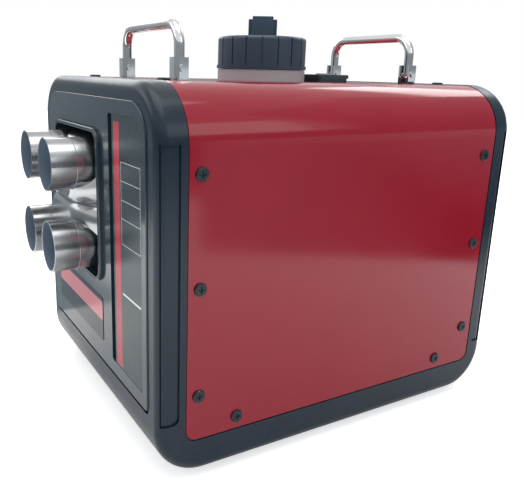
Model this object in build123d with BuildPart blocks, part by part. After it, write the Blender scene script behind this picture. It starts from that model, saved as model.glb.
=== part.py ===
from build123d import *
import os
from math import cos, radians, sin, sqrt

# All-in-one diesel air heater, in millimetres.
# Origin: middle of the footprint, on the ground. +Z is up and the outlets face -Y.

# ---------------------------------------------------------------- driving sizes
# Housing
BODY_W = 270.0          # across, side panel to side panel
BODY_L = 342.0          # front face to rear face
BODY_H = 282.0          # underside to top, without feet
FOOT_H = 5.0
FOOT_R = 11.0
FOOT_SIDE = 30.0        # feet from the sides
FOOT_END = 59.0         # and from the ends
TOP_R = 42.0            # upper long corners
END_R = 38.0            # lower front and rear corners
EDGE_R = 8.0            # rounding that runs round both frames
WALL = 4.5
FRONT_RIM = 22.4        # black frame in front of the cover
REAR_RIM = 20.2
SILL_H = 27.6           # black strip under the cover
TONGUE = 20.0           # how far the frames reach in under the cover
RECESS_DEPTH = 1.6      # shallow panel in the frames' sides
RECESS_IN = 2.3         # its outer edge, on the rounding
RECESS_W = 14.2
RECESS_LOW = 44.0
RECESS_DROP = 39.0      # its upper end below the top
RECESS_R = 5.0          # its lower inner corner

# Cover
COVER_SINK = 0.3        # cover below the frames' outer surface
COVER_T = 1.2
SKIN_GAP = 0.3          # between the cover and the tongues under it
EDGE_GAP = 0.6          # round the cover's edges
COVER_R = 8.5           # cover's lower corners
COVER_EDGE_R = 0.4      # its softened outer edge

# Cover screws
SCREW_HEAD_R = 4.8
SCREW_HEAD_H = 1.8
SCREW_SHANK_R = 2.4
SCREW_LEN = 8.0
SCREW_GAP = 0.25
SCREW_INSET = 9.4       # screw column from the cover's edge
SCREW_ROW_LOW = 62.8    # rows of the two columns
SCREW_ROW_MID = 143.8
SCREW_ROW_DROP = 58.7   # upper row below the top
SCREW_LOW = 38.1        # the screw near the cover's lower edge
SCREW_LOW_STEP = 32.6   # its distance from the screw column
SCREW_TOP_SIDE = 60.0   # screws on the top, from the sides

# Front panel
PANEL_SIDE = 17.0       # frame left beside the panel
PANEL_LOW = 49.4        # lower edge above the underside
PANEL_DROP = 13.6       # upper edge below the top
PANEL_R = 26.0          # upper corners
PANEL_LOW_R = 4.0
PANEL_T = 3.0
PANEL_PROUD = 1.0
PANEL_LEDGE = 6.0       # frame behind the panel's rim
PANEL_GAP = 0.1
PANEL_GROOVE = 3.0      # open groove under the panel
PLATE_W = 62.0          # data plate's pocket
PLATE_SIDE_GAP = 8.0    # from the panel's right, lower and upper edges
PLATE_LOW_GAP = 11.8
PLATE_HIGH_GAP = 10.7
PLATE_R = 13.0
PLATE_LOW_R = 1.5
POCKET_DEPTH = 2.8
PLATE_WALL = 1.0        # pocket's wall behind the panel
PLATE_SLOT = 7.4        # pocket left open beside the plate
PLATE_T = 2.7
PLATE_GAP = 0.1
PLATE_EDGE_R = 0.3
LABEL_SIDE_GAP = 19.0   # low label, from the panel's left and lower edges
LABEL_LOW_GAP = 18.6
LABEL_PLATE_GAP = 21.0  # and from the plate and the collar
LABEL_COLLAR_GAP = 13.0
LABEL_R = 2.0
LABEL_T = 0.4

# Outlets
OUTLET_X = -30.0        # middle of the four tubes
OUTLET_DROP = 100.5     # and below the top
TUBE_R = 21.0
TUBE_T = 1.2
TUBE_PITCH_X = 62.6
TUBE_PITCH_Z = 66.9
TUBE_REACH = 37.0       # rims in front of the front face
TUBE_FREE = 20.0        # straight spigot in front of the manifold
TUBE_ROOT = 22.0        # tube inside the manifold's dome
TUBE_SHOULDER = 0.3     # root thinner than the spigot, from just before the dome
SHOULDER_GAP = 0.5
MANIFOLD_MARGIN = 2.0   # manifold round the tubes
MANIFOLD_T = 1.5
MANIFOLD_R = 20.0
MANIFOLD_L = 7.0        # straight part behind the domes
DOME_H = 30.0           # the manifold's two domes, cut off before their tips
DOME_TIP = 6.0          # what is cut off
DOME_STEPS = (0.0, 0.5, 0.85, 1.0)
CREASE_OVERLAP = 3.0    # the domes run into each other between the rows
CREASE_GAP = 4.0        # and stand apart at their front
FLANGE_T = 2.0
FLANGE_MARGIN = 8.0
COLLAR_GAP_X = 2.0      # manifold to collar
COLLAR_GAP_Z = 3.0
COLLAR_T = 3.0
COLLAR_R = 13.0
COLLAR_PROUD = 3.0      # in front of the panel
COLLAR_FLANGE_T = 2.0
COLLAR_FLANGE_W = 3.0
COLLAR_FIT = 0.3
COLLAR_GROOVE = 0.8
DUCT_T = 1.5

# Folding handles
HANDLE_FRONT_IN = 32.1  # pivots from the cover's front and rear edges
HANDLE_REAR_IN = 28.3
HANDLE_ROD_R = 4.0
HANDLE_X = 53.0         # legs from the middle
HANDLE_RISE = 33.0      # bar above the pivots
HANDLE_BEND = 16.0
PIVOT_H = 8.5           # pivots above the cover
PIN_R = 2.0
PIN_FIT = 0.05
PIN_HEAD_R = 2.8
PIN_HEAD_T = 1.2
BRACKET_L = 5.0         # flat cheeks past the pivots
BRACKET_H = 16.6
BRACKET_T = 1.8
BRACKET_GAP = 0.5
BRACKET_R = 1.7         # bends' inner radius
STUD_R = 2.5
STUD_L = 14.0
NUT_R = 4.6
NUT_H = 4.0
BACKING_W = 15.0
BACKING_T = 2.5
BACKING_END = 14.0      # backing plate past the studs

# Fuel tank and filler
FILLER_Y = -7.6
NECK_R = 33.0
NECK_T = 4.0
FILLER_RING_R = 39.5
FILLER_RING_H = 9.6
CAP_R = 39.5
CAP_FLANGE_R = 40.5
CAP_FLANGE_T = 3.0
CAP_LIFT = 0.3          # cap flange above the ring
CAP_H = 27.6
CAP_BORE_R = 35.0
CAP_TOP_T = 4.0
CAP_CROWN = 3.0
CAP_FLUTES = 18
CAP_TURN = 57.0         # one flute and the knob's flat face this way, as screwed down
CAP_FLUTE_W = 1.3
CAP_FLUTE_D = 0.9
SEAL_T = 2.5
KNOB_W = 18.4
KNOB_H = 17.6
KNOB_BACK_W = 25.4
KNOB_BACK_D = 10.0
KNOB_STEP = 2.4
TANK_CORE_GAP = 3.0     # main column, standing on the tray
TANK_SCREW_GAP = 0.7
TANK_FRONT_GAP = 59.0   # from the housing's faces
TANK_REAR_GAP = 33.0
TANK_TOP_GAP = 19.5     # under the cover
TANK_R = 12.0
TANK_T = 3.0
SHELF_LEFT = -40.0      # shelf under the filler
SHELF_TALL = 24.0
SHELF_HALF = 38.0

# Fuel system
PICKUP_SIDE = 46.0      # from the tank's right and rear walls
PICKUP_REAR = 42.0
PICKUP_R = 3.0
PICKUP_FLANGE_R = 12.0
PICKUP_FLANGE_H = 9.0
PICKUP_FLOOR = 6.0      # strainer above the tank's floor
STRAINER_R = 7.0
STRAINER_H = 14.0
LINE_R = 3.0
LINE_BORE_R = 1.5
LINE_BEND = 14.0
LINE_REAR_GAP = 18.0    # from the housing's rear face
LINE_SLACK = 1.0        # straight line behind the filter's barb
FUEL_OFF = 18.0         # pump and filter axis, left of the core's axis
FUEL_H = 25.0           # its height above the underside
FILTER_R = 12.0
FILTER_L = 30.0
PUMP_R = 15.0
PUMP_L = 50.0
PUMP_T = 3.0
BARB_R = 2.6
BARB_L = 12.0
LINE_STUB = 6.0
PLUNGER_R = 6.0
PLUNGER_L = 26.0
PLUNGER_TRAVEL = 2.0
CLAMP_T = 4.0
CLAMP_W = 22.0

# Heater core
CORE_SIDE = 35.0        # from the left side
CORE_SHELF_GAP = 5.0    # under the tank's shelf
CORE_W = 116.0
CORE_TALL = 122.0
CORE_REAR_GAP = 25.0    # from the housing's rear face
DUCT_L = 23.0           # from the core to the manifold
CORE_R = 14.0
CORE_T = 2.5
CORE_OUTLET_R = 45.0
CORE_INLET_R = 49.0
EXCHANGER_GAP = 10.0    # behind the core's front
EXCHANGER_R = 38.0
EXCHANGER_T = 4.0
FIN_R = 50.0
FIN_T = 2.0
FIN_COUNT = 24
MOUTH_T = 6.0           # exchanger's flange at the blower housing
GASKET_T = 2.0
GASKET_BORE_R = 20.0
BURNER_R = 29.0
BURNER_T = 1.5
BURNER_ROOM = 20.0      # flame space in front of the burner
BURNER_FLANGE_T = 2.5
BURNER_GAP = 0.3
NIPPLE_R = 2.0
NIPPLE_DROP = 16.0      # fuel nipple below the core
GLOW_R = 4.0
GLOW_L = 34.0
GLOW_OFF = 12.0
BLOWER_R = 50.0
BLOWER_L = 42.0
BLOWER_T = 4.0
AIR_HOLE_R = 12.0
PORT_R = 12.0           # exhaust and intake
PORT_BORE_R = 9.0
PORT_DROP = 4.0         # ports below the core
FOOT_MARGIN = 2.0       # castings' feet round their ports
STAND_T = 2.0           # stands that carry the core
STAND_FRONT_IN = 28.0   # from the core's ends
STAND_REAR_IN = 58.0
STAND_LEG_W = 14.0
STAND_BEAM_H = 10.0
STAND_FLANGE = 12.0
EXHAUST_OFF = 2.0       # ports right of the core's axis
INTAKE_OFF = 29.0
EXHAUST_MOUTH_GAP = 32.0
PIPE_H = 57.0           # pipe axes above the underside
PIPE_T = 1.5
PIPE_REACH = 37.0       # behind the rear face
PIPE_BEND = 18.0
PIPE_BEAD_GAP = 3.0     # hose stop on each pipe's free end
PIPE_BEAD_W = 2.0
PIPE_BEAD_H = 1.0
PIPE_GAP = 1.0
SHAFT_R = 2.5
SHAFT_FIT = 0.05
MOTOR_R = 24.0
MOTOR_L = 56.0
MOTOR_T = 2.0
ARMATURE_R = 18.0
ARMATURE_L = 40.0
AIR_FAN_R = 46.0
AIR_FAN_L = 24.0
AIR_FAN_GAP = 8.0
AIR_FAN_ROOM = 24.0     # behind the hot-air fan
AIR_BLADES = 7
AIR_BLADE_T = 2.2
AIR_BLADE_PITCH = 38.0
FAN_HUB_R = 10.0
BURN_FAN_R = 32.0
BURN_FAN_L = 12.0
BURN_BLADES = 12
BURN_BLADE_T = 1.6
BURN_PLATE_T = 2.0
FAN_CLEAR = 4.0
SENSOR_R = 6.0
SENSOR_H = 5.0
SENSOR_MOUTH_GAP = 50.0
ECU_W = 24.0
ECU_L = 90.0
ECU_TALL = 60.0
ECU_R = 3.0
ECU_MOUTH_GAP = 10.0
WIRE_R = 3.0
WIRE_BEND = 10.0

# Control panel on the top
CONTROL_W = 58.0
CONTROL_D = 37.0
CONTROL_Y = 55.3
CONTROL_RISE = 6.7
CONTROL_LIP = 3.5
CONTROL_LIP_OVER = 1.5
CONTROL_DEPTH = 13.0    # box under the cover
CONTROL_INSET = 3.5
CONTROL_T = 1.6
CONTROL_R = 4.0
CONTROL_FIT = 0.4
SCREEN_W = 28.0
SCREEN_D = 18.0
SCREEN_X = -9.0
SCREEN_T = 1.2
SCREEN_FIT = 0.1
BUTTON_R = 2.9
BUTTON_GAP = 0.3
BUTTON_RISE = 0.9
BUTTON_SKIRT = 1.0
BUTTON_SKIRT_T = 1.0
BUTTON_TRAVEL = 1.0
BUTTON_X = (11.0, 19.5)
BUTTON_STEP_Y = 4.6
BOARD_T = 1.6
BOARD_DROP = 9.0        # board below the control panel's top

# Rear
GRILLE_W = 118.0
GRILLE_T = 2.5
GRILLE_LEDGE = 5.0
GRILLE_GAP = 0.3
GRILLE_R = 8.0
SLOT_COUNT = 9
SLOT_H = 6.0
SLOT_PITCH = 11.0
SLOT_MARGIN = 10.0
INLET_SIDE = 27.0       # from the left side
INLET_H = 65.0
INLET_R = 9.0
INLET_FLANGE_R = 12.0
INLET_FLANGE_T = 2.5
INLET_L = 20.0
INLET_HOLE_R = 6.0
INLET_HOLE_L = 12.0
INLET_PIN_R = 0.9
INLET_PIN_L = 9.0
INLET_PIN_X = 3.4
FOOT_SCREW_R = 2.2
FOOT_HEAD_R = 4.0
FOOT_HEAD_H = 2.0
FOOT_SINK = 1.0
FOOT_SCREW_L = 8.0

# ---------------------------------------------------------------- derived places
BOTTOM = FOOT_H
TOP = BOTTOM + BODY_H
FRONT = -BODY_L / 2
REAR = BODY_L / 2
SIDE = BODY_W / 2
BODY_MID = BOTTOM + BODY_H / 2
FLOOR = BOTTOM + WALL
FOOT_X = SIDE - FOOT_SIDE
FOOT_Y = REAR - FOOT_END
RECESS_HIGH = BODY_H - RECESS_DROP

COVER_FRONT = FRONT + FRONT_RIM
COVER_REAR = REAR - REAR_RIM
COVER_LOW = BOTTOM + SILL_H
COVER_TOP = TOP - COVER_SINK
UNDERSIDE = COVER_TOP - COVER_T
TONGUE_SINK = COVER_SINK + COVER_T + SKIN_GAP
FRAME_FRONT_END = COVER_FRONT + TONGUE
FRAME_REAR_END = COVER_REAR - TONGUE
SCREW_ROWS = (SCREW_ROW_LOW, SCREW_ROW_MID, BODY_H - SCREW_ROW_DROP)
SCREW_TOP_X = SIDE - SCREW_TOP_SIDE

PANEL_W = BODY_W - 2 * PANEL_SIDE
PANEL_HIGH = BODY_H - PANEL_DROP
PANEL_TALL = PANEL_HIGH - PANEL_LOW
PANEL_MID_Z = BOTTOM + PANEL_LOW + PANEL_TALL / 2
PANEL_FACE = FRONT - PANEL_PROUD
PANEL_BACK = PANEL_FACE + PANEL_T
PLATE_LEFT = PANEL_W / 2 - PLATE_SIDE_GAP - PLATE_W
PLATE_TALL = PANEL_TALL - PLATE_LOW_GAP - PLATE_HIGH_GAP
PLATE_MID = (PLATE_LEFT + PLATE_W / 2, PANEL_MID_Z + (PLATE_LOW_GAP - PLATE_HIGH_GAP) / 2)

OUTLET_Z = TOP - OUTLET_DROP
RIM_Y = FRONT - TUBE_REACH
DOME_FRONT_Y = RIM_Y + TUBE_FREE
DOME_BASE_Y = DOME_FRONT_Y + DOME_H
MANIFOLD_BACK = DOME_BASE_Y + MANIFOLD_L
MANIFOLD_W = TUBE_PITCH_X + 2 * (TUBE_R + MANIFOLD_MARGIN)
MANIFOLD_H = TUBE_PITCH_Z + 2 * (TUBE_R + MANIFOLD_MARGIN)
TUBE_ROOT_R = TUBE_R - TUBE_SHOULDER
COLLAR_IN_W = MANIFOLD_W + 2 * COLLAR_GAP_X
COLLAR_IN_H = MANIFOLD_H + 2 * COLLAR_GAP_Z
COLLAR_OUT_W = COLLAR_IN_W + 2 * COLLAR_T
COLLAR_OUT_H = COLLAR_IN_H + 2 * COLLAR_T
COLLAR_FACE = PANEL_FACE - COLLAR_PROUD
LABEL_LEFT = LABEL_SIDE_GAP - PANEL_W / 2
LABEL_RIGHT = PLATE_LEFT - LABEL_PLATE_GAP
LABEL_LOW = BOTTOM + PANEL_LOW + LABEL_LOW_GAP
LABEL_HIGH = OUTLET_Z - COLLAR_OUT_H / 2 - LABEL_COLLAR_GAP

PIVOT_Z = COVER_TOP + PIVOT_H
BAR_Z = PIVOT_Z + HANDLE_RISE
BRACKET_X = HANDLE_ROD_R + BRACKET_GAP + BRACKET_T
CAP_LOW = COVER_TOP + FILLER_RING_H + CAP_LIFT
CAP_HIGH = CAP_LOW + CAP_H
NECK_TOP = CAP_HIGH - CAP_TOP_T - SEAL_T
CONTROL_TOP = COVER_TOP + CONTROL_RISE

# The core hangs between the left side, the tank's shelf and the rear face, and the tank
# takes up the room that is left. Along the core, everything is set out from its rear end.
TANK_HIGH = UNDERSIDE - TANK_TOP_GAP
SHELF_LOW = TANK_HIGH - SHELF_TALL
CORE_X = CORE_SIDE + CORE_W / 2 - SIDE
CORE_Z = SHELF_LOW - CORE_SHELF_GAP - CORE_TALL / 2
CORE_LOW = CORE_Z - CORE_TALL / 2
CORE_FRONT = MANIFOLD_BACK + DUCT_L
CORE_REAR = REAR - CORE_REAR_GAP
AIR_FAN_Y = CORE_REAR - AIR_FAN_ROOM - AIR_FAN_L
MOTOR_REAR = AIR_FAN_Y - AIR_FAN_GAP
BLOWER_REAR = MOTOR_REAR - MOTOR_L
BLOWER_FRONT = BLOWER_REAR - BLOWER_L
BURN_FAN_Y = BLOWER_FRONT + BLOWER_T + FAN_CLEAR
MOUTH_Y = BLOWER_FRONT - GASKET_T
EXCHANGER_FRONT = CORE_FRONT + EXCHANGER_GAP
EXCHANGER_L = MOUTH_Y - EXCHANGER_FRONT
BURNER_L = EXCHANGER_L - BURNER_ROOM
NIPPLE_Y = MOUTH_Y - MOUTH_T
SENSOR_Y = MOUTH_Y - SENSOR_MOUTH_GAP
STAND_Y = (CORE_FRONT + STAND_FRONT_IN, CORE_REAR - STAND_REAR_IN)
EXHAUST_X = CORE_X + EXHAUST_OFF
EXHAUST_PORT_Y = MOUTH_Y - EXHAUST_MOUTH_GAP
INTAKE_X = CORE_X + INTAKE_OFF
INTAKE_PORT_Y = BLOWER_FRONT + BLOWER_L / 2
PORT_LOW = CORE_LOW - PORT_DROP
PIPE_Z = BOTTOM + PIPE_H
PIPE_END_Y = REAR + PIPE_REACH
ECU_FRONT = MOUTH_Y + ECU_MOUTH_GAP

TANK_LEFT = CORE_X + CORE_W / 2 + TANK_CORE_GAP
TANK_RIGHT = SIDE - COVER_SINK - SCREW_LEN - TANK_SCREW_GAP
TANK_FRONT = FRONT + TANK_FRONT_GAP
TANK_REAR = REAR - TANK_REAR_GAP
PICKUP_X = TANK_RIGHT - PICKUP_SIDE
PICKUP_Y = TANK_REAR - PICKUP_REAR
FUEL_X = CORE_X - FUEL_OFF
FUEL_Z = BOTTOM + FUEL_H
LINE_REAR_Y = REAR - LINE_REAR_GAP
FILTER_REAR = LINE_REAR_Y - LINE_BEND - LINE_SLACK - BARB_L
FILTER_FRONT = FILTER_REAR - FILTER_L
PUMP_REAR = FILTER_FRONT - 2 * BARB_L - LINE_STUB
PUMP_FRONT = PUMP_REAR - PUMP_L

INLET_X = INLET_SIDE - SIDE
INLET_Z = BOTTOM + INLET_H
# Depth of each handle's pivots and the way it folds, 1 to the rear and -1 to the front.
HANDLE_PLACES = {
    "front_handle": (COVER_FRONT + HANDLE_FRONT_IN, 1),
    "rear_handle": (COVER_REAR - HANDLE_REAR_IN, -1),
}
TUBE_PLACES = {
    "outlet_tube_upper_left": (OUTLET_X - TUBE_PITCH_X / 2, OUTLET_Z + TUBE_PITCH_Z / 2),
    "outlet_tube_upper_right": (OUTLET_X + TUBE_PITCH_X / 2, OUTLET_Z + TUBE_PITCH_Z / 2),
    "outlet_tube_lower_left": (OUTLET_X - TUBE_PITCH_X / 2, OUTLET_Z - TUBE_PITCH_Z / 2),
    "outlet_tube_lower_right": (OUTLET_X + TUBE_PITCH_X / 2, OUTLET_Z - TUBE_PITCH_Z / 2),
}

nodes = {}              # every finished piece by its name


def facing(y):
    """Plane across the heater at depth y, facing the front; its x is X and its y is Z."""
    return Plane.XZ.offset(-y)


def arched(middle, width, height, top_r, low_r=0.0):
    """Flat upright rectangle with its own upper and lower corner radii."""
    with BuildSketch() as outline:
        with Locations(middle):
            Rectangle(width, height)
        fillet(outline.vertices().group_by(Axis.Y)[-1], top_r)
        if low_r > 0:
            fillet(outline.vertices().group_by(Axis.Y)[0], low_r)
    return outline.sketch


def housing_section(sink, mode=Mode.ADD):
    """Housing's cross-section, drawn in by sink, in the active sketch."""
    add(arched((0, BODY_MID), BODY_W - 2 * sink, BODY_H - 2 * sink, TOP_R - sink), mode=mode)


def outer_rim(block):
    """Edges that run round both ends of a block of the housing."""
    edges = block.edges()
    rim = edges.filter_by(GeomType.CIRCLE) + edges.filter_by(Axis.Z)
    rim += edges.filter_by(Axis.X).group_by(Axis.Z)[-1]
    rim += edges.filter_by(Axis.Y).group_by(Axis.Z)[0]
    return rim


def housing_block(sink):
    """Solid block of the whole housing, drawn in by sink all round."""
    with BuildPart() as block:
        with BuildSketch(Plane.XZ):
            housing_section(sink)
        extrude(amount=BODY_L / 2 - sink, both=True)
        with BuildSketch(Plane.YZ) as profile:
            with Locations((0, BODY_MID)):
                Rectangle(BODY_L - 2 * sink, BODY_H - 2 * sink)
            fillet(profile.vertices().group_by(Axis.Y)[0], END_R - sink)
        extrude(amount=BODY_W, both=True, mode=Mode.INTERSECT)
        fillet(outer_rim(block), EDGE_R - sink)
    return block.part


def cover_window(grow):
    """Side outline of the cover, grown by grow and open above, in the active YZ sketch."""
    low = COVER_LOW - grow
    high = TOP + BODY_H
    middle = ((COVER_FRONT + COVER_REAR) / 2, (low + high) / 2)
    length = COVER_REAR - COVER_FRONT + 2 * grow
    add(arched(middle, length, high - low, COVER_R, COVER_R + grow))


def bent_tube(points, bend, outer_r, inner_r=0.0):
    """Tube along a bent route, in the active part."""
    with BuildLine() as route:
        if len(points) == 2:
            Line(*points)
        else:
            FilletPolyline(*points, radius=bend)
    start = Plane(origin=route.line @ 0, z_dir=route.line % 0)
    with BuildSketch(start) as section:
        Circle(outer_r)
        if inner_r > 0:
            Circle(inner_r, mode=Mode.SUBTRACT)
    sweep(section.sketch, path=route.line)


def ring(y, length, outer_r, inner_r, x, z, mode=Mode.ADD):
    """Round piece along Y from y to y + length, in the active part."""
    with BuildSketch(facing(y + length)) as section:
        with Locations((x, z)):
            Circle(outer_r)
            if inner_r > 0:
                Circle(inner_r, mode=Mode.SUBTRACT)
    extrude(section.sketch, amount=length, mode=mode)


def drum(low, height, radius, x, y, mode=Mode.ADD):
    """Upright cylinder from the height low, in the active part."""
    with BuildSketch(Plane.XY.offset(low)) as section:
        with Locations((x, y)):
            Circle(radius)
    extrude(section.sketch, amount=height, mode=mode)


def slab(x0, x1, y0, y1, z0, z1, mode=Mode.ADD):
    """Plain block between six planes, in the active part."""
    with Locations(((x0 + x1) / 2, (y0 + y1) / 2, (z0 + z1) / 2)):
        Box(x1 - x0, y1 - y0, z1 - z0, mode=mode)


# ---------------------------------------------------------------- cover screws' places
# Each place is a plane on the cover's surface, facing out.
screw_columns = (
    (COVER_FRONT + SCREW_INSET, 1),
    (COVER_REAR - SCREW_INSET + (REAR_RIM - FRONT_RIM), -1),
)
screw_planes = []
for side in (1, -1):
    for column, inward in screw_columns:
        spots = [(column, row) for row in SCREW_ROWS]
        spots.append((column + inward * SCREW_LOW_STEP, SCREW_LOW))
        for spot_y, spot_h in spots:
            origin = (side * (SIDE - COVER_SINK), spot_y, BOTTOM + spot_h)
            screw_planes.append(Plane(origin=origin, x_dir=(0, 1, 0), z_dir=(side, 0, 0)))
for side in (1, -1):
    for column, inward in screw_columns:
        origin = (side * SCREW_TOP_X, column, COVER_TOP)
        screw_planes.append(Plane(origin=origin, x_dir=(1, 0, 0), z_dir=(0, 0, 1)))


def screw_holes(gap):
    """Holes for the cover screws, wider than the shanks by gap, cut from the active part."""
    for plane in screw_planes:
        with BuildSketch(plane.offset(1)) as hole:
            Circle(SCREW_SHANK_R + gap)
        extrude(hole.sketch, amount=-(SCREW_LEN + WALL), mode=Mode.SUBTRACT)


# ---------------------------------------------------------------- housing: frames and base tray
# The black shell is one thickness all round, sunk where the cover lies over it.
with BuildPart() as cover_seat:
    with BuildSketch(Plane.XZ):
        with Locations((0, BODY_MID)):
            Rectangle(BODY_W * 2, BODY_H * 2)
        housing_section(TONGUE_SINK, Mode.SUBTRACT)
    extrude(amount=BODY_L, both=True)
    with BuildSketch(Plane.YZ):
        cover_window(EDGE_GAP)
    extrude(amount=BODY_W, both=True, mode=Mode.INTERSECT)

outer_block = housing_block(0)
inner_block = housing_block(WALL)

with BuildPart() as shell:
    add(outer_block)
    add(inner_block, mode=Mode.SUBTRACT)
    add(cover_seat.part, mode=Mode.SUBTRACT)
    slab(-BODY_W, BODY_W, FRAME_FRONT_END, FRAME_REAR_END, COVER_LOW + TONGUE, TOP + 1, Mode.SUBTRACT)
    screw_holes(0)


def recess_outline(end_y, inward):
    """Side outline of the shallow recess of a frame whose outer face is at end_y."""
    middle = end_y + inward * (RECESS_IN + RECESS_W / 2)
    with BuildSketch() as outline:
        with Locations((middle, BOTTOM + (RECESS_LOW + RECESS_HIGH) / 2)):
            Rectangle(RECESS_W, RECESS_HIGH - RECESS_LOW)
        low_corners = outline.vertices().group_by(Axis.Y)[0]
        fillet(low_corners.sort_by(Axis.X, reverse=inward > 0)[0], RECESS_R)
    return outline.sketch


# What the recesses take away follows the rounding at the ends.
with BuildPart() as recesses:
    add(outer_block)
    add(housing_block(RECESS_DEPTH), mode=Mode.SUBTRACT)
    with BuildSketch(Plane.YZ):
        add(recess_outline(FRONT, 1))
        add(recess_outline(REAR, -1))
    extrude(amount=BODY_W, both=True, mode=Mode.INTERSECT)

with BuildPart() as front_frame:
    add(shell.part)
    split(bisect_by=facing(FRAME_FRONT_END), keep=Keep.TOP)
    add(recesses.part, mode=Mode.SUBTRACT)
    # Seat for the front panel, with an open groove below it.
    seat_w = PANEL_W + 2 * PANEL_GAP
    seat_h = PANEL_TALL + PANEL_GAP + PANEL_GROOVE
    with BuildSketch(facing(PANEL_BACK)):
        seat_mid = (0, BOTTOM + PANEL_HIGH + PANEL_GAP - seat_h / 2)
        add(arched(seat_mid, seat_w, seat_h, PANEL_R + PANEL_GAP, PANEL_LOW_R))
    extrude(amount=PANEL_T + 1, mode=Mode.SUBTRACT)
    with BuildSketch(facing(FRONT + WALL + 1)):
        window_w = PANEL_W - 2 * PANEL_LEDGE
        window_h = PANEL_TALL - 2 * PANEL_LEDGE
        add(arched((0, PANEL_MID_Z), window_w, window_h, PANEL_R - PANEL_LEDGE, PANEL_LOW_R))
    extrude(amount=WALL + 2, mode=Mode.SUBTRACT)
nodes["front_frame"] = front_frame

with BuildPart() as base_tray:
    add(shell.part)
    split(bisect_by=facing(FRAME_FRONT_END), keep=Keep.BOTTOM)
    split(bisect_by=facing(FRAME_REAR_END), keep=Keep.TOP)
    for foot_x in (-FOOT_X, FOOT_X):
        for foot_y in (-FOOT_Y, FOOT_Y):
            drum(BOTTOM - 1, WALL + 2, FOOT_SCREW_R, foot_x, foot_y, Mode.SUBTRACT)
nodes["base_tray"] = base_tray

with BuildPart() as rear_frame:
    add(shell.part)
    split(bisect_by=facing(FRAME_REAR_END), keep=Keep.BOTTOM)
    add(recesses.part, mode=Mode.SUBTRACT)
    # Seat and opening for the air grille.
    with BuildSketch(facing(REAR + 1)):
        with Locations((CORE_X, CORE_Z)):
            RectangleRounded(GRILLE_W, GRILLE_W, GRILLE_R)
    extrude(amount=1 + GRILLE_T - COVER_SINK, mode=Mode.SUBTRACT)
    with BuildSketch(facing(REAR + 1)):
        with Locations((CORE_X, CORE_Z)):
            opening = GRILLE_W - 2 * GRILLE_LEDGE
            RectangleRounded(opening, opening, GRILLE_R - GRILLE_LEDGE / 2)
    extrude(amount=WALL + 2, mode=Mode.SUBTRACT)
    # Holes for the two combustion pipes and the power inlet.
    for hole_x, hole_z, hole_r in (
        (EXHAUST_X, PIPE_Z, PORT_R + PIPE_GAP),
        (INTAKE_X, PIPE_Z, PORT_R + PIPE_GAP),
        (INLET_X, INLET_Z, INLET_R + SCREW_GAP),
    ):
        ring(REAR - WALL - 1, WALL + 2, hole_r, 0, hole_x, hole_z, Mode.SUBTRACT)
nodes["rear_frame"] = rear_frame

# ---------------------------------------------------------------- cover
handle_spots = [(x, y) for y, fold in HANDLE_PLACES.values() for x in (-HANDLE_X, HANDLE_X)]
with BuildPart() as cover:
    with BuildSketch(Plane.XZ):
        housing_section(COVER_SINK)
    extrude(amount=BODY_L, both=True)
    with BuildSketch(Plane.YZ):
        cover_window(0)
    extrude(amount=BODY_W, both=True, mode=Mode.INTERSECT)
    fillet(outer_rim(cover), COVER_EDGE_R)
    with BuildSketch(Plane.XZ):
        housing_section(COVER_SINK + COVER_T)
    extrude(amount=BODY_L, both=True, mode=Mode.SUBTRACT)
    screw_holes(SCREW_GAP)
    drum(UNDERSIDE - 1, COVER_T + 2, NECK_R + 2 * CAP_LIFT, 0, FILLER_Y, Mode.SUBTRACT)
    with BuildSketch(Plane.XY.offset(UNDERSIDE - 1)):
        with Locations((0, CONTROL_Y)):
            box_w = CONTROL_W - 2 * CONTROL_INSET + 2 * CONTROL_FIT
            box_d = CONTROL_D - 2 * CONTROL_INSET + 2 * CONTROL_FIT
            RectangleRounded(box_w, box_d, CONTROL_FIT * 2)
    extrude(amount=COVER_T + 2, mode=Mode.SUBTRACT)
    for stud_x, stud_y in handle_spots:
        drum(UNDERSIDE - 1, COVER_T + 2, STUD_R + SCREW_GAP, stud_x, stud_y, Mode.SUBTRACT)
nodes["cover"] = cover

with BuildPart() as one_screw:
    with BuildSketch():
        Circle(SCREW_HEAD_R)
    extrude(amount=SCREW_HEAD_H)
    fillet(one_screw.edges().group_by(Axis.Z)[-1], SCREW_HEAD_H * 0.6)
    with BuildSketch():
        Circle(SCREW_SHANK_R)
    extrude(amount=-SCREW_LEN)
    with BuildSketch(Plane.XY.offset(SCREW_HEAD_H)):
        Rectangle(SCREW_HEAD_R, SCREW_HEAD_R / 5)
        Rectangle(SCREW_HEAD_R / 5, SCREW_HEAD_R)
    extrude(amount=-SCREW_HEAD_H / 2, mode=Mode.SUBTRACT)

with BuildPart() as cover_screws:
    with Locations(*screw_planes):
        add(one_screw.part)
nodes["cover_screws"] = cover_screws

# ---------------------------------------------------------------- front panel and its plates


def plate_outline(grow):
    """Data plate's outline, grown by grow; only its upper right corner is wide."""
    with BuildSketch() as outline:
        with Locations(PLATE_MID):
            Rectangle(PLATE_W + 2 * grow, PLATE_TALL + 2 * grow)
        fillet(outline.vertices().sort_by(lambda corner: corner.X + corner.Y)[-1], PLATE_R + grow)
        others = outline.vertices().sort_by(lambda corner: corner.X + corner.Y)[:3]
        fillet(others, PLATE_LOW_R + grow)
    return outline.sketch


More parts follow.
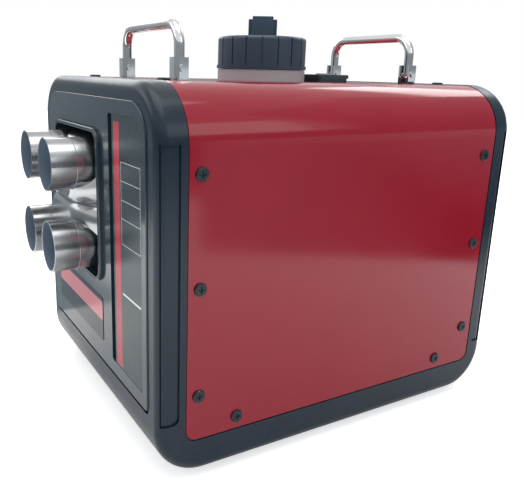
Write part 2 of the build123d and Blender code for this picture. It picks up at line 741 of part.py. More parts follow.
with BuildPart() as front_panel:
    with BuildSketch(facing(PANEL_BACK)):
        add(arched((0, PANEL_MID_Z), PANEL_W, PANEL_TALL, PANEL_R, PANEL_LOW_R))
    extrude(amount=PANEL_T)
    fillet(front_panel.faces().sort_by(Axis.Y)[0].edges(), 0.8)
    # Thicker behind the data plate's pocket.
    with BuildSketch(facing(PANEL_BACK)):
        add(plate_outline(PLATE_WALL))
    extrude(amount=-POCKET_DEPTH)
    with BuildSketch(facing(PANEL_FACE + POCKET_DEPTH)):
        add(plate_outline(0))
    extrude(amount=POCKET_DEPTH + 1, mode=Mode.SUBTRACT)
    with BuildSketch(facing(PANEL_BACK + 1)):
        with Locations((OUTLET_X, OUTLET_Z)):
            hole_w = COLLAR_OUT_W + 2 * COLLAR_FIT
            hole_h = COLLAR_OUT_H + 2 * COLLAR_FIT
            RectangleRounded(hole_w, hole_h, COLLAR_R + COLLAR_FIT)
    extrude(amount=PANEL_T + 2, mode=Mode.SUBTRACT)
nodes["front_panel"] = front_panel

# The plate leaves a narrow upright slot open along the pocket's left wall.
with BuildPart() as data_plate:
    with BuildSketch(facing(PANEL_FACE + POCKET_DEPTH)):
        add(plate_outline(-PLATE_GAP))
        with Locations((PLATE_LEFT, PLATE_MID[1])):
            Rectangle(2 * PLATE_SLOT, BODY_H, mode=Mode.SUBTRACT)
    extrude(amount=PLATE_T)
    fillet(data_plate.faces().sort_by(Axis.Y)[0].edges(), PLATE_EDGE_R)
nodes["data_plate"] = data_plate

with BuildPart() as front_label:
    with BuildSketch(facing(PANEL_FACE)):
        with Locations(((LABEL_LEFT + LABEL_RIGHT) / 2, (LABEL_LOW + LABEL_HIGH) / 2)):
            RectangleRounded(LABEL_RIGHT - LABEL_LEFT, LABEL_HIGH - LABEL_LOW, LABEL_R)
    extrude(amount=LABEL_T)
nodes["front_label"] = front_label

# ---------------------------------------------------------------- outlets
with BuildPart() as outlet_collar:
    with BuildSketch(facing(MANIFOLD_BACK - FLANGE_T)):
        with Locations((OUTLET_X, OUTLET_Z)):
            RectangleRounded(COLLAR_OUT_W, COLLAR_OUT_H, COLLAR_R)
    extrude(amount=MANIFOLD_BACK - FLANGE_T - COLLAR_FACE)
    fillet(outlet_collar.faces().sort_by(Axis.Y)[0].edges(), COLLAR_T * 0.45)
    with BuildSketch(facing(PANEL_BACK + COLLAR_FLANGE_T)):
        with Locations((OUTLET_X, OUTLET_Z)):
            flange_w = COLLAR_OUT_W + 2 * COLLAR_FLANGE_W
            flange_h = COLLAR_OUT_H + 2 * COLLAR_FLANGE_W
            RectangleRounded(flange_w, flange_h, COLLAR_R + COLLAR_FLANGE_W)
    extrude(amount=COLLAR_FLANGE_T)
    with BuildSketch(facing(MANIFOLD_BACK)):
        with Locations((OUTLET_X, OUTLET_Z)):
            RectangleRounded(COLLAR_IN_W, COLLAR_IN_H, COLLAR_R - COLLAR_T)
    extrude(amount=MANIFOLD_BACK - COLLAR_FACE + 1, mode=Mode.SUBTRACT)
    # Fine groove round the lip.
    lip_mid = COLLAR_T / 2
    with BuildSketch(facing(COLLAR_FACE + COLLAR_GROOVE)):
        with Locations((OUTLET_X, OUTLET_Z)):
            groove_out = lip_mid + COLLAR_GROOVE / 2
            groove_in = lip_mid - COLLAR_GROOVE / 2
            RectangleRounded(
                COLLAR_IN_W + 2 * groove_out, COLLAR_IN_H + 2 * groove_out, COLLAR_R - COLLAR_T + groove_out
            )
            RectangleRounded(
                COLLAR_IN_W + 2 * groove_in,
                COLLAR_IN_H + 2 * groove_in,
                COLLAR_R - COLLAR_T + groove_in,
                mode=Mode.SUBTRACT,
            )
    extrude(amount=COLLAR_GROOVE + 1, mode=Mode.SUBTRACT)
nodes["outlet_collar"] = outlet_collar


def lobe(sink):
    """Dome over the upper row of tubes, drawn in by sink; its section shrinks as an ellipse does."""
    with BuildPart() as dome:
        for step in DOME_STEPS:
            shrink = sqrt(1 - (step * DOME_H / (DOME_H + DOME_TIP)) ** 2)
            crease = (CREASE_OVERLAP + CREASE_GAP) * step**6 - CREASE_OVERLAP
            low = crease + sink
            high = MANIFOLD_H / 2 * shrink - sink
            with BuildSketch(facing(DOME_BASE_Y + sink - step * DOME_H)):
                with Locations((OUTLET_X, OUTLET_Z + (low + high) / 2)):
                    RectangleRounded(MANIFOLD_W * shrink - 2 * sink, high - low, MANIFOLD_R * shrink - sink)
        loft()
    return dome.part


def manifold_block(sink):
    """Manifold's outer form, drawn in by sink: a short box that ends in one dome for each row."""
    upper = lobe(sink)
    with BuildPart() as block:
        with BuildSketch(facing(DOME_BASE_Y + sink + MANIFOLD_L)):
            with Locations((OUTLET_X, OUTLET_Z)):
                RectangleRounded(MANIFOLD_W - 2 * sink, MANIFOLD_H - 2 * sink, MANIFOLD_R - sink)
        extrude(amount=MANIFOLD_L)
        add(upper)
        add(mirror(upper, about=Plane.XY.offset(OUTLET_Z), mode=Mode.PRIVATE))
    return block.part


with BuildPart() as outlet_manifold:
    add(manifold_block(0))
    with BuildSketch(facing(MANIFOLD_BACK)):
        with Locations((OUTLET_X, OUTLET_Z)):
            flange_w = MANIFOLD_W + 2 * FLANGE_MARGIN
            RectangleRounded(flange_w, MANIFOLD_H + 2 * FLANGE_MARGIN, COLLAR_R)
    extrude(amount=FLANGE_T)
    add(manifold_block(MANIFOLD_T), mode=Mode.SUBTRACT)
    for tube_x, tube_z in TUBE_PLACES.values():
        ring(DOME_FRONT_Y - 1, DOME_H, TUBE_ROOT_R, 0, tube_x, tube_z, Mode.SUBTRACT)
nodes["outlet_manifold"] = outlet_manifold

for tube_name, (tube_x, tube_z) in TUBE_PLACES.items():
    with BuildPart() as outlet_tube:
        ring(RIM_Y, TUBE_FREE - SHOULDER_GAP, TUBE_R, TUBE_R - TUBE_T, tube_x, tube_z)
        ring(RIM_Y, TUBE_FREE + TUBE_ROOT, TUBE_ROOT_R, TUBE_R - TUBE_T, tube_x, tube_z)
    nodes[tube_name] = outlet_tube


def duct_form(sink):
    """Duct from the core's round end to the manifold, drawn in by sink."""
    with BuildPart() as form:
        with BuildSketch(facing(CORE_FRONT)):
            with Locations((CORE_X, CORE_Z)):
                mouth = 2 * (CORE_OUTLET_R + DUCT_T - sink)
                RectangleRounded(mouth, mouth, mouth / 2 - 1)
        with BuildSketch(facing(MANIFOLD_BACK)):
            with Locations((OUTLET_X, OUTLET_Z)):
                RectangleRounded(MANIFOLD_W - 2 * sink, MANIFOLD_H - 2 * sink, MANIFOLD_R - sink)
        loft()
    return form.part


with BuildPart() as outlet_duct:
    add(duct_form(0))
    add(duct_form(DUCT_T), mode=Mode.SUBTRACT)
nodes["outlet_duct"] = outlet_duct

# ---------------------------------------------------------------- folding handles
for handle_name, (handle_y, fold) in HANDLE_PLACES.items():
    with BuildPart() as handle:
        corners = [
            (-HANDLE_X, handle_y, PIVOT_Z),
            (-HANDLE_X, handle_y, BAR_Z),
            (HANDLE_X, handle_y, BAR_Z),
            (HANDLE_X, handle_y, PIVOT_Z),
        ]
        bent_tube(corners, HANDLE_BEND, HANDLE_ROD_R)
        with Locations(corners[0], corners[-1]):
            Sphere(HANDLE_ROD_R)
        with BuildSketch(Plane.YZ.offset(-HANDLE_X * 2)):
            with Locations((handle_y, PIVOT_Z)):
                Circle(PIN_R + PIN_FIT)
        extrude(amount=HANDLE_X * 4, mode=Mode.SUBTRACT)
    nodes[handle_name] = handle


def bracket_plan(grow, tail, fold):
    """Handle bracket's outline round a leg, grown by grow; its round nose is away from the fold."""
    half = HANDLE_ROD_R + BRACKET_GAP + grow
    with BuildSketch() as plan:
        with Locations((0, fold * (tail - half) / 2)):
            Rectangle(2 * half, half + tail)
        nose = plan.vertices().sort_by(Axis.Y, reverse=fold < 0)[:2]
        fillet(nose, BRACKET_R + grow)
    return plan.sketch


with BuildPart() as handle_brackets:
    for handle_y, fold in HANDLE_PLACES.values():
        for leg_x in (-HANDLE_X, HANDLE_X):
            with BuildSketch(Plane.XY.offset(COVER_TOP)) as plan:
                with Locations((leg_x, handle_y)):
                    add(bracket_plan(BRACKET_T, BRACKET_L, fold))
            extrude(plan.sketch, amount=BRACKET_H)
            with BuildSketch(Plane.XY.offset(COVER_TOP + BRACKET_T)) as room:
                with Locations((leg_x, handle_y)):
                    add(bracket_plan(0, BRACKET_L + 1, fold))
            extrude(room.sketch, amount=BRACKET_H, mode=Mode.SUBTRACT)
            drum(COVER_TOP - STUD_L, STUD_L, STUD_R, leg_x, handle_y)
        with BuildSketch(Plane.YZ.offset(-HANDLE_X * 2)) as pin_hole:
            with Locations((handle_y, PIVOT_Z)):
                Circle(PIN_R)
        extrude(pin_hole.sketch, amount=HANDLE_X * 4, mode=Mode.SUBTRACT)
nodes["handle_brackets"] = handle_brackets

with BuildPart() as handle_pins:
    for leg_x, handle_y in handle_spots:
        for start_x, length, radius in (
            (leg_x - BRACKET_X, 2 * BRACKET_X, PIN_R),
            (leg_x + BRACKET_X, PIN_HEAD_T, PIN_HEAD_R),
            (leg_x - BRACKET_X - PIN_HEAD_T, PIN_HEAD_T, PIN_HEAD_R),
        ):
            with BuildSketch(Plane.YZ.offset(start_x)):
                with Locations((handle_y, PIVOT_Z)):
                    Circle(radius)
            extrude(amount=length)
nodes["handle_pins"] = handle_pins

with BuildPart() as handle_backing:
    backing_x = HANDLE_X + BACKING_END
    for handle_y, fold in HANDLE_PLACES.values():
        low_y = handle_y - BACKING_W / 2
        slab(-backing_x, backing_x, low_y, low_y + BACKING_W, UNDERSIDE - BACKING_T, UNDERSIDE)
    for stud_x, stud_y in handle_spots:
        drum(UNDERSIDE - BACKING_T - 1, BACKING_T + 2, STUD_R + SCREW_GAP, stud_x, stud_y, Mode.SUBTRACT)
nodes["handle_backing"] = handle_backing

with BuildPart() as handle_nuts:
    with BuildSketch(Plane.XY.offset(UNDERSIDE - BACKING_T - NUT_H)):
        with Locations(*handle_spots):
            RegularPolygon(NUT_R, 6)
            Circle(STUD_R, mode=Mode.SUBTRACT)
    extrude(amount=NUT_H)
nodes["handle_nuts"] = handle_nuts

# ---------------------------------------------------------------- fuel tank and filler


def tank_form(sink):
    """Tank's outer form, drawn in by sink: a tall column and a shelf under the filler."""
    with BuildPart() as form:
        slab(
            TANK_LEFT + sink,
            TANK_RIGHT - sink,
            TANK_FRONT + sink,
            TANK_REAR - sink,
            FLOOR + sink,
            TANK_HIGH - sink,
        )
        fillet(form.edges(), TANK_R - sink)
    with BuildPart() as shelf:
        slab(
            SHELF_LEFT + sink,
            TANK_LEFT + 2 * TANK_R,
            FILLER_Y - SHELF_HALF + sink,
            FILLER_Y + SHELF_HALF - sink,
            SHELF_LOW + sink,
            TANK_HIGH - sink,
        )
        fillet(shelf.edges(), TANK_R / 2 - sink / 2)
    with BuildPart() as whole:
        add(form.part)
        add(shelf.part)
    return whole.part


with BuildPart() as fuel_tank:
    add(tank_form(0))
    drum(TANK_HIGH - TANK_T, NECK_TOP - TANK_HIGH + TANK_T, NECK_R, 0, FILLER_Y)
    add(tank_form(TANK_T), mode=Mode.SUBTRACT)
    drum(TANK_HIGH - 2 * TANK_T, BODY_H, NECK_R - NECK_T, 0, FILLER_Y, Mode.SUBTRACT)
    drum(TANK_HIGH - 2 * TANK_T, 3 * TANK_T, PICKUP_R + SCREW_GAP, PICKUP_X, PICKUP_Y, Mode.SUBTRACT)
nodes["fuel_tank"] = fuel_tank

with BuildPart() as filler_ring:
    drum(COVER_TOP, FILLER_RING_H, FILLER_RING_R, 0, FILLER_Y)
    drum(COVER_TOP - 1, FILLER_RING_H + 2, NECK_R + CAP_LIFT, 0, FILLER_Y, Mode.SUBTRACT)
    fillet(filler_ring.edges().group_by(Axis.Z)[-1].sort_by(SortBy.LENGTH)[-1], 0.8)
nodes["filler_ring"] = filler_ring

with BuildPart() as filler_cap:
    drum(CAP_LOW, CAP_H, CAP_R, 0, FILLER_Y)
    fillet(filler_cap.edges().group_by(Axis.Z)[-1], CAP_CROWN)
    with BuildSketch(Plane.XY.offset(CAP_LOW + CAP_FLANGE_T)):
        with Locations((0, FILLER_Y)):
            with PolarLocations(CAP_R, CAP_FLUTES, start_angle=CAP_TURN - 90):
                Rectangle(2 * CAP_FLUTE_D, CAP_FLUTE_W)
    extrude(amount=CAP_H, mode=Mode.SUBTRACT)
    drum(CAP_LOW, CAP_FLANGE_T, CAP_FLANGE_R, 0, FILLER_Y)
    drum(CAP_LOW - 1, CAP_H - CAP_TOP_T + 1, CAP_BORE_R, 0, FILLER_Y, Mode.SUBTRACT)
nodes["filler_cap"] = filler_cap

with BuildPart() as cap_seal:
    drum(NECK_TOP, SEAL_T, NECK_R, 0, FILLER_Y)
    drum(NECK_TOP - 1, SEAL_T + 2, NECK_R - NECK_T - 1, 0, FILLER_Y, Mode.SUBTRACT)
nodes["cap_seal"] = cap_seal

with BuildPart() as cap_knob:
    for width, depth, height in (
        (KNOB_W, KNOB_W, KNOB_H),
        (KNOB_BACK_W, KNOB_BACK_D, KNOB_H - KNOB_STEP),
    ):
        with BuildSketch(Plane.XY.offset(CAP_HIGH)):
            with Locations((0, FILLER_Y)):
                Rectangle(width, depth, rotation=CAP_TURN)
        extrude(amount=height)
    fillet(cap_knob.edges().filter_by(Axis.Z), 0.8)
    fillet(cap_knob.edges().group_by(Axis.Z)[-1], 0.6)
nodes["cap_knob"] = cap_knob

# ---------------------------------------------------------------- fuel system
with BuildPart() as fuel_pickup:
    drum(TANK_HIGH, PICKUP_FLANGE_H, PICKUP_FLANGE_R, PICKUP_X, PICKUP_Y)
    tube_low = FLOOR + TANK_T + PICKUP_FLOOR
    drum(tube_low, TANK_HIGH - tube_low, PICKUP_R, PICKUP_X, PICKUP_Y)
    drum(tube_low, STRAINER_H, STRAINER_R, PICKUP_X, PICKUP_Y)
    nipple_z = TANK_HIGH + PICKUP_FLANGE_H / 2
    ring(PICKUP_Y, PICKUP_FLANGE_R + BARB_L, BARB_R / 2, 0, PICKUP_X, nipple_z)
nodes["fuel_pickup"] = fuel_pickup

with BuildPart() as fuel_filter:
    ring(FILTER_FRONT, FILTER_L, FILTER_R, 0, FUEL_X, FUEL_Z)
    fillet(fuel_filter.edges(), 3)
    ring(FILTER_FRONT - BARB_L, FILTER_L + 2 * BARB_L, BARB_R, 0, FUEL_X, FUEL_Z)
nodes["fuel_filter"] = fuel_filter

with BuildPart() as pump_body:
    ring(PUMP_FRONT, PUMP_L, PUMP_R, 0, FUEL_X, FUEL_Z)
    fillet(pump_body.edges(), 2)
    ring(PUMP_FRONT - BARB_L, PUMP_L + 2 * BARB_L, BARB_R, 0, FUEL_X, FUEL_Z)
    chamber_r = PLUNGER_R + SHAFT_FIT
    ring(PUMP_FRONT + PUMP_T, PUMP_L - 2 * PUMP_T, chamber_r, 0, FUEL_X, FUEL_Z, Mode.SUBTRACT)
nodes["fuel_pump_body"] = pump_body

with BuildPart() as pump_plunger:
    plunger_front = PUMP_FRONT + PUMP_T + PLUNGER_TRAVEL + 1
    ring(plunger_front, PLUNGER_L, PLUNGER_R, BARB_R / 2, FUEL_X, FUEL_Z)
nodes["fuel_pump_plunger"] = pump_plunger

with BuildPart() as pump_mount:
    clamp_r = PUMP_R + CLAMP_T
    clamp_y = PUMP_FRONT + PUMP_L / 2 - CLAMP_W / 2
    ring(clamp_y, CLAMP_W, clamp_r, 0, FUEL_X, FUEL_Z)
    slab(FUEL_X - clamp_r, FUEL_X + clamp_r, clamp_y, clamp_y + CLAMP_W, FLOOR, FUEL_Z)
    ring(clamp_y - 1, CLAMP_W + 2, PUMP_R + PIN_FIT, 0, FUEL_X, FUEL_Z, Mode.SUBTRACT)
nodes["fuel_pump_mount"] = pump_mount


def barb_end(y):
    return (FUEL_X, y, FUEL_Z)


nipple_end = PICKUP_Y + PICKUP_FLANGE_R + BARB_L
with BuildPart() as fuel_lines:
    suction_route = [
        (PICKUP_X, nipple_end, nipple_z),
        (PICKUP_X, LINE_REAR_Y, nipple_z),
        (PICKUP_X, LINE_REAR_Y, FUEL_Z),
        barb_end(LINE_REAR_Y),
        barb_end(FILTER_REAR + BARB_L),
    ]
    bent_tube(suction_route, LINE_BEND, LINE_R, LINE_BORE_R)
    bent_tube([barb_end(PUMP_REAR + BARB_L), barb_end(FILTER_FRONT - BARB_L)], 0, LINE_R, LINE_BORE_R)
    delivery_route = [
        barb_end(PUMP_FRONT - BARB_L),
        barb_end(NIPPLE_Y),
        (FUEL_X, NIPPLE_Y, CORE_LOW - NIPPLE_DROP),
    ]
    bent_tube(delivery_route, LINE_BEND, LINE_R, LINE_BORE_R)
nodes["fuel_lines"] = fuel_lines

# ---------------------------------------------------------------- heater core
with BuildPart() as core_shell:
    with BuildSketch(facing(CORE_REAR)):
        with Locations((CORE_X, CORE_Z)):
            RectangleRounded(CORE_W, CORE_TALL, CORE_R)
    extrude(amount=CORE_REAR - CORE_FRONT)
    with BuildSketch(facing(CORE_REAR - CORE_T)):
        with Locations((CORE_X, CORE_Z)):
            RectangleRounded(CORE_W - 2 * CORE_T, CORE_TALL - 2 * CORE_T, CORE_R - CORE_T)
    extrude(amount=CORE_REAR - CORE_FRONT - 2 * CORE_T, mode=Mode.SUBTRACT)
    ring(CORE_FRONT - 1, CORE_T + 2, CORE_OUTLET_R, 0, CORE_X, CORE_Z, Mode.SUBTRACT)
    ring(CORE_REAR - CORE_T - 1, CORE_T + 2, CORE_INLET_R, 0, CORE_X, CORE_Z, Mode.SUBTRACT)
    for port_x, port_y in ((EXHAUST_X, EXHAUST_PORT_Y), (INTAKE_X, INTAKE_PORT_Y)):
        drum(CORE_LOW - 1, CORE_T + 2, PORT_R + PIPE_GAP, port_x, port_y, Mode.SUBTRACT)
    drum(CORE_LOW - 1, CORE_T + 2, NIPPLE_R + PIPE_GAP, FUEL_X, NIPPLE_Y, Mode.SUBTRACT)

with BuildPart() as core_lower_shell:
    add(core_shell.part)
    split(bisect_by=Plane.XY.offset(CORE_Z), keep=Keep.BOTTOM)
nodes["core_lower_shell"] = core_lower_shell

with BuildPart() as core_upper_shell:
    add(core_shell.part)
    split(bisect_by=Plane.XY.offset(CORE_Z), keep=Keep.TOP)
nodes["core_upper_shell"] = core_upper_shell


def casting_foot(x, y):
    """Foot round a port, standing on the floor of the core's shell, in the active part."""
    half = PORT_R + FOOT_MARGIN
    slab(x - half, x + half, y - half, y + half, CORE_LOW + CORE_T, CORE_Z - EXCHANGER_R + FOOT_MARGIN)


with BuildPart() as heat_exchanger:
    ring(EXCHANGER_FRONT, EXCHANGER_L, EXCHANGER_R, 0, CORE_X, CORE_Z)
    with BuildSketch(facing(MOUTH_Y - MOUTH_T - FAN_CLEAR)):
        with Locations((CORE_X, CORE_Z)):
            with PolarLocations((FIN_R + EXCHANGER_R) / 2 - 1, FIN_COUNT):
                Rectangle(FIN_R - EXCHANGER_R + 2, FIN_T)
    extrude(amount=EXCHANGER_L - MOUTH_T - FAN_CLEAR)
    ring(MOUTH_Y - MOUTH_T, MOUTH_T, FIN_R, 0, CORE_X, CORE_Z)
    drum(PORT_LOW, CORE_Z - PORT_LOW, PORT_R, EXHAUST_X, EXHAUST_PORT_Y)
    casting_foot(EXHAUST_X, EXHAUST_PORT_Y)
    bore_r = EXCHANGER_R - EXCHANGER_T
    ring(EXCHANGER_FRONT + EXCHANGER_T, EXCHANGER_L, bore_r, 0, CORE_X, CORE_Z, Mode.SUBTRACT)
    drum(PORT_LOW - 1, CORE_Z - PORT_LOW, PORT_BORE_R, EXHAUST_X, EXHAUST_PORT_Y, Mode.SUBTRACT)
    drum(CORE_LOW, CORE_Z - CORE_LOW, NIPPLE_R + PIPE_GAP, FUEL_X, NIPPLE_Y, Mode.SUBTRACT)
nodes["heat_exchanger"] = heat_exchanger

with BuildPart() as burner:
    flange_r = EXCHANGER_R - EXCHANGER_T - BURNER_GAP
    ring(MOUTH_Y - BURNER_L, BURNER_L, BURNER_R, BURNER_R - BURNER_T, CORE_X, CORE_Z)
    ring(MOUTH_Y - 3 * BURNER_FLANGE_T, 3 * BURNER_FLANGE_T, flange_r, AIR_HOLE_R, CORE_X, CORE_Z)
    nipple_low = CORE_LOW - NIPPLE_DROP
    nipple_high = CORE_Z - BURNER_R + BURNER_T + NIPPLE_R
    drum(nipple_low, nipple_high - nipple_low, NIPPLE_R, FUEL_X, NIPPLE_Y)
    drum(nipple_low - 1, nipple_high - nipple_low, NIPPLE_R / 2, FUEL_X, NIPPLE_Y, Mode.SUBTRACT)
nodes["burner"] = burner

with BuildPart() as glow_plug:
    plug_x = CORE_X - GLOW_OFF - GLOW_R
    plug_z = CORE_Z + GLOW_OFF
    plug_rear = MOUTH_Y - 3 * BURNER_FLANGE_T
    ring(plug_rear - GLOW_L / 3, GLOW_L / 3, GLOW_R, 0, plug_x, plug_z)
    ring(plug_rear - GLOW_L, GLOW_L, GLOW_R / 2, 0, plug_x, plug_z)
nodes["glow_plug"] = glow_plug

with BuildPart() as exchanger_gasket:
    ring(MOUTH_Y, GASKET_T, FIN_R - 1, GASKET_BORE_R, CORE_X, CORE_Z)
nodes["exchanger_gasket"] = exchanger_gasket

with BuildPart() as blower_housing:
    ring(BLOWER_FRONT, BLOWER_L, BLOWER_R, 0, CORE_X, CORE_Z)
    drum(PORT_LOW, CORE_Z - PORT_LOW, PORT_R, INTAKE_X, INTAKE_PORT_Y)
    casting_foot(INTAKE_X, INTAKE_PORT_Y)
    chamber_l = BLOWER_L - 2 * BLOWER_T
    ring(BLOWER_FRONT + BLOWER_T, chamber_l, BLOWER_R - BLOWER_T, 0, CORE_X, CORE_Z, Mode.SUBTRACT)
    ring(BLOWER_FRONT - 1, BLOWER_T + 2, AIR_HOLE_R, 0, CORE_X, CORE_Z, Mode.SUBTRACT)
    ring(BLOWER_REAR - BLOWER_T - 1, BLOWER_T + 2, SHAFT_R + SHAFT_FIT, 0, CORE_X, CORE_Z, Mode.SUBTRACT)
    drum(PORT_LOW - 1, CORE_Z - PORT_LOW, PORT_BORE_R, INTAKE_X, INTAKE_PORT_Y, Mode.SUBTRACT)
nodes["blower_housing"] = blower_housing

with BuildPart() as blower_motor:
    ring(BLOWER_REAR, MOTOR_L, MOTOR_R, 0, CORE_X, CORE_Z)
    ring(BLOWER_REAR + MOTOR_T, MOTOR_L - 2 * MOTOR_T, MOTOR_R - MOTOR_T, 0, CORE_X, CORE_Z, Mode.SUBTRACT)
    ring(BLOWER_REAR - 1, MOTOR_L + 2, SHAFT_R + SHAFT_FIT, 0, CORE_X, CORE_Z, Mode.SUBTRACT)
nodes["blower_motor"] = blower_motor

with BuildPart() as motor_rotor:
    shaft_front = BURN_FAN_Y - SHAFT_R
    shaft_rear = AIR_FAN_Y + AIR_FAN_L + SHAFT_R
    ring(shaft_front, shaft_rear - shaft_front, SHAFT_R, 0, CORE_X, CORE_Z)
    armature_y = BLOWER_REAR + (MOTOR_L - ARMATURE_L) / 2
    ring(armature_y, ARMATURE_L, ARMATURE_R, 0, CORE_X, CORE_Z)
nodes["motor_rotor"] = motor_rotor

with BuildPart() as combustion_fan:
    ring(BURN_FAN_Y, BURN_PLATE_T, BURN_FAN_R, SHAFT_R, CORE_X, CORE_Z)
    ring(BURN_FAN_Y, BURN_FAN_L, FAN_HUB_R, SHAFT_R, CORE_X, CORE_Z)
    with BuildSketch(facing(BURN_FAN_Y + BURN_FAN_L)):
        with Locations((CORE_X, CORE_Z)):
            with PolarLocations((FAN_HUB_R + BURN_FAN_R) / 2, BURN_BLADES):
                Rectangle(BURN_FAN_R - FAN_HUB_R - 1, BURN_BLADE_T)
    extrude(amount=BURN_FAN_L)
    ring(BURN_FAN_Y - 1, BURN_FAN_L + 2, SHAFT_R, 0, CORE_X, CORE_Z, Mode.SUBTRACT)
nodes["combustion_fan"] = combustion_fan

with BuildPart() as hot_air_fan:
    ring(AIR_FAN_Y, AIR_FAN_L, FAN_HUB_R, SHAFT_R, CORE_X, CORE_Z)
    blade_l = AIR_FAN_R - FAN_HUB_R + 2
    blade_mid = FAN_HUB_R - 2 + blade_l / 2
    for blade in range(AIR_BLADES):
        angle = 360 / AIR_BLADES * blade
        middle = (
            CORE_X + blade_mid * cos(radians(angle)),
            AIR_FAN_Y + AIR_FAN_L / 2,
            CORE_Z + blade_mid * sin(radians(angle)),
        )
        outward = (cos(radians(angle)), 0, sin(radians(angle)))
        with BuildSketch(Plane(origin=middle, x_dir=(0, 1, 0), z_dir=outward)) as blade_sketch:
            with Locations(Location((0, 0), AIR_BLADE_PITCH)):
                Rectangle(AIR_FAN_L - AIR_BLADE_T, AIR_BLADE_T)
        extrude(amount=blade_l / 2, both=True)
    ring(AIR_FAN_Y - 1, AIR_FAN_L + 2, SHAFT_R, 0, CORE_X, CORE_Z, Mode.SUBTRACT)
nodes["hot_air_fan"] = hot_air_fan

with BuildPart() as overheat_sensor:
    drum(CORE_Z + FIN_R, SENSOR_H, SENSOR_R, CORE_X, SENSOR_Y)
nodes["overheat_sensor"] = overheat_sensor

with BuildPart() as core_stands:
    stand_left = CORE_X - CORE_W / 2
    stand_right = CORE_X + CORE_W / 2
    for stand_y in STAND_Y:
        far_y = stand_y + STAND_T
        slab(stand_left, stand_right, stand_y, far_y, CORE_LOW - STAND_BEAM_H, CORE_LOW)
        for leg_x in (stand_left, stand_right - STAND_LEG_W):
            slab(leg_x, leg_x + STAND_LEG_W, stand_y, far_y, FLOOR, CORE_LOW)
            slab(leg_x, leg_x + STAND_LEG_W, stand_y, stand_y + STAND_FLANGE, FLOOR, FLOOR + STAND_T)
        slab(stand_left, stand_right, stand_y, stand_y + STAND_FLANGE, CORE_LOW - STAND_T, CORE_LOW)
nodes["core_stands"] = core_stands

core_left = CORE_X - CORE_W / 2
ecu_x = core_left - ECU_W / 2
with BuildPart() as control_unit:
    ecu_low = CORE_Z - ECU_TALL / 2
    slab(core_left - ECU_W, core_left, ECU_FRONT, ECU_FRONT + ECU_L, ecu_low, ecu_low + ECU_TALL)
    fillet(control_unit.edges().filter_by(Axis.Y), ECU_R)
nodes["control_unit"] = control_unit

for pipe_name, pipe_x, port_y in (
    ("exhaust_pipe", EXHAUST_X, EXHAUST_PORT_Y),
    ("intake_pipe", INTAKE_X, INTAKE_PORT_Y),
):
    with BuildPart() as pipe:
        route = [(pipe_x, port_y, PORT_LOW), (pipe_x, port_y, PIPE_Z), (pipe_x, PIPE_END_Y, PIPE_Z)]
        bent_tube(route, PIPE_BEND, PORT_R, PORT_R - PIPE_T)
        ring(REAR + PIPE_BEAD_GAP, PIPE_BEAD_W, PORT_R + PIPE_BEAD_H, PORT_R - PIPE_T, pipe_x, PIPE_Z)
    nodes[pipe_name] = pipe

# ---------------------------------------------------------------- control panel
box_half_w = CONTROL_W / 2 - CONTROL_INSET
box_half_d = CONTROL_D / 2 - CONTROL_INSET
button_places = {
    "button_power": (BUTTON_X[0], CONTROL_Y - BUTTON_STEP_Y),
    "button_up": (BUTTON_X[0], CONTROL_Y + BUTTON_STEP_Y),
    "button_ok": (BUTTON_X[1], CONTROL_Y - BUTTON_STEP_Y),
    "button_down": (BUTTON_X[1], CONTROL_Y + BUTTON_STEP_Y),
}
with BuildPart() as control_bezel:
    with BuildSketch(Plane.XY.offset(CONTROL_TOP - CONTROL_LIP)):
        with Locations((0, CONTROL_Y)):
            RectangleRounded(CONTROL_W, CONTROL_D, CONTROL_R)
    extrude(amount=CONTROL_LIP)
    fillet(control_bezel.edges().group_by(Axis.Z)[-1], 1)
    with BuildSketch(Plane.XY.offset(COVER_TOP)):
        with Locations((0, CONTROL_Y)):
            base_w = CONTROL_W - 2 * CONTROL_LIP_OVER
            base_d = CONTROL_D - 2 * CONTROL_LIP_OVER
            RectangleRounded(base_w, base_d, CONTROL_R - CONTROL_LIP_OVER)
    extrude(amount=CONTROL_RISE - CONTROL_LIP)
    slab(
        -box_half_w,
        box_half_w,
        CONTROL_Y - box_half_d,
        CONTROL_Y + box_half_d,
        UNDERSIDE - CONTROL_DEPTH,
        COVER_TOP,
    )
    slab(
        -box_half_w + CONTROL_T,
        box_half_w - CONTROL_T,
        CONTROL_Y - box_half_d + CONTROL_T,
        CONTROL_Y + box_half_d - CONTROL_T,
        UNDERSIDE - CONTROL_DEPTH - 1,
        CONTROL_TOP - CONTROL_T,
        Mode.SUBTRACT,
    )
    with BuildSketch(Plane.XY.offset(CONTROL_TOP + 1)):
        with Locations((SCREEN_X, CONTROL_Y)):
            Rectangle(SCREEN_W + 2 * SCREEN_FIT, SCREEN_D + 2 * SCREEN_FIT)
        with Locations(*button_places.values()):
            Circle(BUTTON_R + BUTTON_GAP)
    extrude(amount=-(CONTROL_T + 2), mode=Mode.SUBTRACT)
nodes["control_bezel"] = control_bezel

